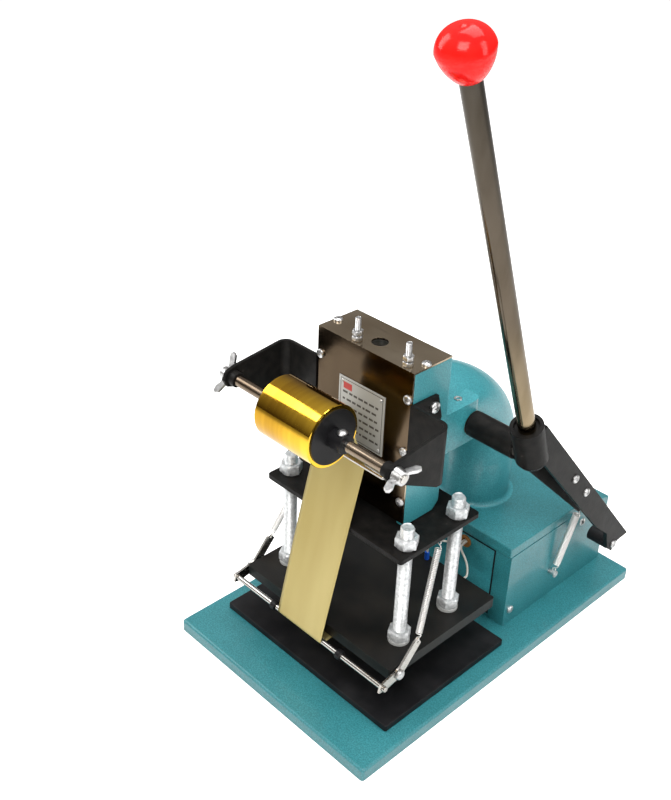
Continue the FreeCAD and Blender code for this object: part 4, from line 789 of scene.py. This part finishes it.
coil_real = wired(spring_tree, "GeometryNodeRealizeInstances", [("Geometry", laid.outputs["Instances"])])
coil_finished = wired(spring_tree, "GeometryNodeSetMaterial",
                      [("Geometry", coil_real.outputs["Geometry"]), ("Material", spring_in.outputs["Finish"])])
spring_tree.links.new(coil_finished.outputs["Geometry"], spring_out.inputs["Geometry"])
nickel, nickel_shader = shaded("nickel_wire", (0.82, 0.81, 0.79), 0.3, 0.8)
roughened(nickel, nickel_shader, grain(nickel, 400, 3), 0.26, 0.4)


def wire_run(points, radius, sides=10):
    """Round wire along points, as a bmesh."""
    curve = bpy.data.curves.new("wire_run", "CURVE")
    curve.dimensions = "3D"
    curve.bevel_depth = radius
    curve.bevel_resolution = sides // 4
    curve.use_fill_caps = True
    spline = curve.splines.new("NURBS")
    spline.points.add(len(points) - 1)
    for target, point in zip(spline.points, points):
        target.co = (*point, 1)
    spline.order_u = 3
    spline.use_endpoint_u = True
    spline.resolution_u = 10
    carrier = bpy.data.objects.new("wire_run", curve)
    scene.collection.objects.link(carrier)
    bpy.context.view_layer.update()
    mesh = bpy.data.meshes.new_from_object(carrier.evaluated_get(bpy.context.evaluated_depsgraph_get()))
    bpy.data.objects.remove(carrier)
    shape = bmesh.new()
    shape.from_mesh(mesh)
    bmesh.ops.remove_doubles(shape, verts=shape.verts, dist=1e-6)
    return shape


def added(target, extra):
    """One bmesh's geometry added to another."""
    mesh = bpy.data.meshes.new("extra")
    extra.to_mesh(mesh)
    extra.free()
    target.from_mesh(mesh)
    bpy.data.meshes.remove(mesh)


def hooked_spring(start, end, coil_radius, wire_radius, turn_count, hook):
    """A tension spring with a hook at each end, between two points."""
    start, end = Vector(start), Vector(end)
    along = (end - start).normalized()
    coil_start, coil_end = start + along * hook, end - along * hook
    slant = Vector((0, 0, 1)).rotation_difference(along)
    coil = grown("coil", [coil_start], spring_tree,
                 {"Coil Radius": coil_radius, "Wire Radius": wire_radius,
                  "Length": (coil_end - coil_start).length, "Turns": float(turn_count), "Turn Steps": 18,
                  "Slant": slant.to_euler(), "Finish": nickel})
    side = slant @ Vector((1, 0, 0))
    for tip, root, away in ((start, coil_start, -along), (end, coil_end, along)):
        loop = [root + side * coil_radius, root + side * coil_radius * 0.9 + away * hook * 0.35,
                root + away * hook * 0.5, tip - side * coil_radius * 0.75 - away * hook * 0.3,
                tip + away * wire_radius * 1.5, tip + side * coil_radius * 0.75 - away * hook * 0.3,
                root + away * hook * 0.62 + side * coil_radius * 0.2]
        added(coil, wire_run(loop, wire_radius))
    return coil


spring = hooked_spring((0.0925, 0.0942, 0.0445), (0.1000, 0.1085, 0.1195), 0.0029, 0.00066, 42, 0.0092)
return_spring = placed("return_coil", spring, nickel, None, ["return_spring"], 60)
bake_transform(return_spring)

# ---- Upper plate, pillars, nuts, heated plate ----------------------------------------------------
# The upper plate is black steel on the ram's foot. Four zinc M12 studs hang the heated
# plate from it, with a nut and a mineral-board washer at each seat to hold the heat back.
eased("upper_plate", "black_upper_plate", black_enamel, 0.0008)
hot_black, hot_shader = shaded("hot_plate_black", (0.010, 0.010, 0.010), 0.42)
hot_shader.inputs["Specular IOR Level"].default_value = 0.25
burnt = ramp(hot_black, grain(hot_black, 30, 5),
             [(0.35, (0.006, 0.006, 0.006)), (0.68, (0.015, 0.013, 0.011))])
hot_black.node_tree.links.new(burnt, hot_shader.inputs["Base Color"])
bumped(hot_black, hot_shader, grain(hot_black, 650, 3), 0.00012, 0.35)
roughened(hot_black, hot_shader, grain(hot_black, 50, 4), 0.3, 0.55)
eased("heated_plate", "black_heated_plate", hot_black, 0.0009)
pillar_low, pillar_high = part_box("plate_pillars")
STUD_RADIUS, STUD_PITCH = 0.006, 0.00175
stud_places = [(x * (pillar_high.x - STUD_RADIUS), y) for x in (-1, 1)
               for y in (pillar_low.y + STUD_RADIUS, pillar_high.y - STUD_RADIUS)]
studs = grown("pillars", [(x, y, pillar_low.z) for x, y in stud_places], thread_tree,
              {"Radius": STUD_RADIUS, "Length": pillar_high.z - pillar_low.z - 0.001, "Pitch": STUD_PITCH,
               "Finish": stud_zinc})
placed("threaded_pillars", studs, stud_zinc, "ram", ["plate_pillars"], 20)
NUT_ACROSS, NUT_HIGH = 0.018, 0.010
nuts = bmesh.new()
for x, y in stud_places:
    for level in (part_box("upper_plate")[1].z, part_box("insulating_washers")[1].z):
        nut_shape(nuts, NUT_ACROSS, NUT_HIGH, STUD_RADIUS * 0.94, Vector((x, y, level)))
bmesh.ops.recalc_face_normals(nuts, faces=nuts.faces)
placed("hexagon_nuts", nuts, stud_zinc, "ram", ["pillar_nuts"], 25)
washer_board, washer_shader = shaded("mineral_board", (0.42, 0.43, 0.42), 0.7)
bumped(washer_board, washer_shader, grain(washer_board, 800, 4), 0.00015, 0.5)
roughened(washer_board, washer_shader, grain(washer_board, 200, 2), 0.7, 0.9)
eased("insulating_washers", "board_washers", washer_board, 0.0003)
coat_node("heaters_and_sensor", ground_steel)

# ---- Sprung guide bar and arms -------------------------------------------------------------------
# Two bright steel strips pivot on the heated plate's sides. They carry the round bar
# that the web turns under, and a long spring pulls each strip up to the upper plate.
eased("guide_arms", "guide_strips", bright_steel, 0.0003)
eased("guide_bar", "bright_guide_bar", bright_steel, 0.0004)
eased("pivot_screws", "pivot_shoulder_screws", zinc, 0.0003)
eased("bar_collars", "bar_collars_black", moulded, 0.0003)
guide_coils = bmesh.new()
for direction in (1, -1):
    added(guide_coils, hooked_spring((direction * 0.0934, -0.1045, 0.0815), (direction * 0.0785, -0.0685, 0.1590),
                                     0.0025, 0.0005, 52, 0.006))
guide_springs = placed("guide_coils", guide_coils, nickel, None, ["guide_springs"], 60)
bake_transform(guide_springs)

# ---- Foil web ------------------------------------------------------------------------------------
# The same film, drawn off the back of the roll with its dull carrier side out. It hangs
# taut behind the wire, turns under the guide bar and runs back below the hot plate.
pale_film, pale_shader = shaded("pale_gold_film", (0.42, 0.34, 0.13), 0.34, 0.7)
pale_tone = ramp(pale_film, grain(pale_film, 14, 3, (1.6, 0.3, 0.3)),
                 [(0.3, (0.37, 0.29, 0.10)), (0.7, (0.48, 0.40, 0.17))])
pale_film.node_tree.links.new(pale_tone, pale_shader.inputs["Base Color"])
roughened(pale_film, pale_shader, grain(pale_film, 60, 3, (1, 0.2, 0.2)), 0.28, 0.42)
web_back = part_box("foil_web")[1].y
plate_low_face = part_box("heated_plate")[0].z
bar_centre = Vector((0, -0.1445, 0.0545))
BAR_REACH = 0.0025 + 0.00012
WEB_RUN = [(roll_axis.y + 0.02590, roll_axis.z - 0.0075), (-0.1186, 0.2540), (-0.10572, 0.2240)]
bottom_turn = [(bar_centre.y + BAR_REACH * math.cos(a), bar_centre.z + BAR_REACH * math.sin(a))
               for a in (math.radians(step) for step in range(168, 269, 12))]
WEB_RUN += bottom_turn
WEB_RUN += [(-0.1335, plate_low_face - 0.0013), (web_back, plate_low_face - 0.0012)]
LEFT_TOP, LEFT_FOOT, RIGHT_TOP, RIGHT_FOOT = -0.0325, -0.0340, 0.0245, 0.0215
film = bmesh.new()
samples, run = [], 0.0
for number in range(len(WEB_RUN) - 1):
    (y0, z0), (y1, z1) = WEB_RUN[number], WEB_RUN[number + 1]
    count = max(1, int(math.hypot(y1 - y0, z1 - z0) / 0.004))
    for step in range(count):
        share = step / count
        samples.append((y0 + (y1 - y0) * share, z0 + (z1 - z0) * share))
samples.append(WEB_RUN[-1])
ACROSS = 16
rows = []
ripple = random.Random(7)
phase = ripple.uniform(0, 6)
for number, (y, z) in enumerate(samples):
    drop = min(1, max(0, (WEB_RUN[0][1] - z) / (WEB_RUN[0][1] - bar_centre.z)))
    left = LEFT_TOP + (LEFT_FOOT - LEFT_TOP) * drop
    span = RIGHT_TOP + (RIGHT_FOOT - RIGHT_TOP) * drop - left
    before, after = samples[max(number - 1, 0)], samples[min(number + 1, len(samples) - 1)]
    along = Vector((0, after[0] - before[0], after[1] - before[1])).normalized()
    outward = Vector((0, along.z, -along.y))
    free = max(0.0, math.sin(math.pi * min(1, max(0, (0.222 - z) / 0.165)))) if z < 0.222 else 0.0
    row = []
    for column in range(ACROSS + 1):
        share = column / ACROSS
        wave = free * (0.00035 * math.sin(9 * share + phase) + 0.00055 * (2 * share - 1) ** 2)
        row.append(film.verts.new(Vector((left + span * share, y, z)) + outward * wave))
    rows.append(row)
for first, second in zip(rows, rows[1:]):
    for column in range(ACROSS):
        film.faces.new((first[column], first[column + 1], second[column + 1], second[column]))
foil_web = placed("gold_web", film, pale_film, None, ["foil_web"], 60)
thickness = foil_web.modifiers.new("film_thickness", "SOLIDIFY")
thickness.thickness = 0.00006
thickness.offset = 0
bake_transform(foil_web)

# ---- Heater leads --------------------------------------------------------------------------------
# Two white glass-braid leads leave the back of the heated plate and go up through a
# rubber grommet in the front panel, with enough slack for the ram's travel.
braid, braid_shader = shaded("white_braid", (0.66, 0.64, 0.58), 0.7)
bumped(braid, braid_shader, grain(braid, 1600, 2), 0.0002, 0.6)
roughened(braid, braid_shader, grain(braid, 300, 2), 0.6, 0.8)
LEAD_RADIUS = 0.00105
leads = wire_run([(0.052, 0.0042, 0.0592), (0.052, 0.0085, 0.0593), (0.052, 0.0122, 0.0598), (0.048, 0.0150, 0.0712),
                  (0.0352, 0.0180, 0.0800), (0.0352, 0.0230, 0.0818), (0.0352, 0.0290, 0.0820)], LEAD_RADIUS, 12)
added(leads, wire_run([(0.014, -0.003, 0.0730), (0.014, -0.003, 0.0800), (0.0150, -0.0012, 0.0850),
                       (0.022, 0.008, 0.0858), (0.0328, 0.0180, 0.0826), (0.0328, 0.0235, 0.0820),
                       (0.0328, 0.0290, 0.0820)], LEAD_RADIUS, 12))
heater_leads = placed("white_leads", leads, braid, None, ["heater_lead"], 60)
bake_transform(heater_leads)
blue_sleeve, blue_shader = shaded("blue_sleeve", (0.010, 0.105, 0.62), 0.35)
roughened(blue_sleeve, blue_shader, grain(blue_sleeve, 300, 2), 0.28, 0.42)
eased("lead_terminal", "blue_terminal_sleeve", blue_sleeve, 0.0007)

# ---- Temperature controller, switch and gland ----------------------------------------------------
# A panel meter is clipped into the housing's left side: a dial with a silver centre sets
# the heat, a needle shows it, and two lamps say whether the heaters are on.
panel_grey, panel_shader = shaded("controller_grey", (0.55, 0.56, 0.57), 0.42)
bumped(panel_grey, panel_shader, grain(panel_grey, 900, 2), 0.00006, 0.3)
roughened(panel_grey, panel_shader, grain(panel_grey, 120, 2), 0.36, 0.5)
eased("controller_case", "controller_bezel", panel_grey, 0.0006)
window_clear, window_shader = shaded("clear_window", (0.95, 0.96, 0.96), 0.04)
window_shader.inputs["Transmission Weight"].default_value = 1.0
window_shader.inputs["IOR"].default_value = 1.45
coat_node("meter_window", window_clear)
eased("temperature_dial", "black_dial", moulded, 0.0009)
coat_node("meter_needle", ink_dark)
eased("switch_case", "switch_surround", moulded, 0.0003)
eased("switch_rocker", "switch_rocker_black", moulded, 0.0006)
eased("cable_gland", "black_gland", moulded, 0.0006)
lamp_glow, _ = shaded("lamp_lens", (0.42, 0.03, 0.02), 0.12, coat=0.5)
coat_node("indicator_lamps", lamp_glow)
panel_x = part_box("controller_case")[0].x
dial_centre = Vector((panel_x, 0.104, 0.037))
scale_x = -0.0852
marks = bmesh.new()
SCALE_SPAN = math.radians(270)
for step in range(31):
    turn = math.radians(-225) + SCALE_SPAN * step / 30
    long_mark = step % 5 == 0
    inner, outer = 0.0158, 0.0182 if long_mark else 0.0172
    across = Vector((0, math.sin(turn), math.cos(turn)))
    point = Vector((0, -math.cos(turn), math.sin(turn)))
    half = 0.00022 if long_mark else 0.00012
    side = Vector((0, point.z, -point.y)) * half
    base_y = dial_centre + Vector((-0.00008, 0, 0))
    quad = [base_y + point * inner + side, base_y + point * outer + side,
            base_y + point * outer - side, base_y + point * inner - side]
    front = [marks.verts.new(corner) for corner in quad]
    rear = [marks.verts.new(corner + Vector((0.0001, 0, 0))) for corner in quad]
    marks.faces.new(front)
    marks.faces.new(rear[::-1])
    for i in range(4):
        marks.faces.new((front[i], rear[i], rear[(i + 1) % 4], front[(i + 1) % 4]))
bmesh.ops.recalc_face_normals(marks, faces=marks.faces)
placed("dial_marks", marks, ink_dark, "frame", [])


def lettered(name, words, centre, high, material):
    """Flat printed figures on the controller's face, read from the left of the machine."""
    curve = bpy.data.curves.new(name, "FONT")
    curve.body = words
    curve.size = high
    curve.align_x, curve.align_y = "CENTER", "CENTER"
    curve.extrude = 0.00005
    carrier = bpy.data.objects.new(name, curve)
    scene.collection.objects.link(carrier)
    bpy.context.view_layer.update()
    mesh = bpy.data.meshes.new_from_object(carrier.evaluated_get(bpy.context.evaluated_depsgraph_get()))
    bpy.data.objects.remove(carrier)
    turn = Matrix(((0, 0, -1), (-1, 0, 0), (0, 1, 0))).to_4x4()
    mesh.transform(Matrix.Translation(centre) @ turn)
    shape = bmesh.new()
    shape.from_mesh(mesh)
    return placed(name, shape, material, "frame", [])


for number, degrees in enumerate(range(0, 301, 50)):
    turn = math.radians(-225) + SCALE_SPAN * number / 6
    reach = 0.0212
    centre = dial_centre + Vector((-0.00006, -math.cos(turn) * reach, math.sin(turn) * reach))
    if centre.z > 0.0200:
        lettered(f"dial_figure_{degrees}", str(degrees), centre, 0.0032, ink_dark)
cap_silver, cap_shader = shaded("dial_cap_silver", (0.72, 0.72, 0.72), 0.3, 1.0)
roughened(cap_silver, cap_shader, grain(cap_silver, 300, 3), 0.24, 0.4)
cap = bmesh.new()
dial_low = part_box("temperature_dial")[0]
spun(cap, [(dial_low.x + 0.0001, 0.0088), (dial_low.x - 0.0006, 0.0082), (dial_low.x - 0.0006, 0.0001),
           (dial_low.x + 0.0001, 0.0001)], Vector((0, 0.104, 0.037)), 64)
bmesh.ops.recalc_face_normals(cap, faces=cap.faces)
placed("dial_cap", cap, cap_silver, "temperature_dial", [])
card_white, _ = shaded("scale_card", (0.86, 0.86, 0.84), 0.6)
scale_card = bmesh.new()
slab(scale_card, (scale_x, 0.0775, 0.0625), (scale_x + 0.0001, 0.1305, 0.0855))
placed("meter_scale_card", scale_card, card_white, "frame", [])
scale_marks = bmesh.new()
for step in range(13):
    turn = math.radians(130 - 80 * step / 12)
    point = Vector((0, math.cos(turn), math.sin(turn)))
    reach = 0.0162 if step % 4 else 0.0172
    root = Vector((scale_x - 0.0001, 0.104, 0.066)) + point * 0.0150
    tip = Vector((scale_x, 0.104, 0.066)) + point * reach
    low_corner = Vector(min(a, b) for a, b in zip(root, tip)) - Vector((0, 0.00015, 0))
    high_corner = Vector(max(a, b) for a, b in zip(root, tip)) + Vector((0, 0.00015, 0))
    slab(scale_marks, low_corner, high_corner)
placed("meter_scale_marks", scale_marks, ink_dark, "frame", [])
band = bmesh.new()
slab(band, (panel_x - 0.0001, 0.0745, 0.0572), (panel_x, 0.1335, 0.0608))
placed("controller_red_band", band, ink_red, "frame", [])
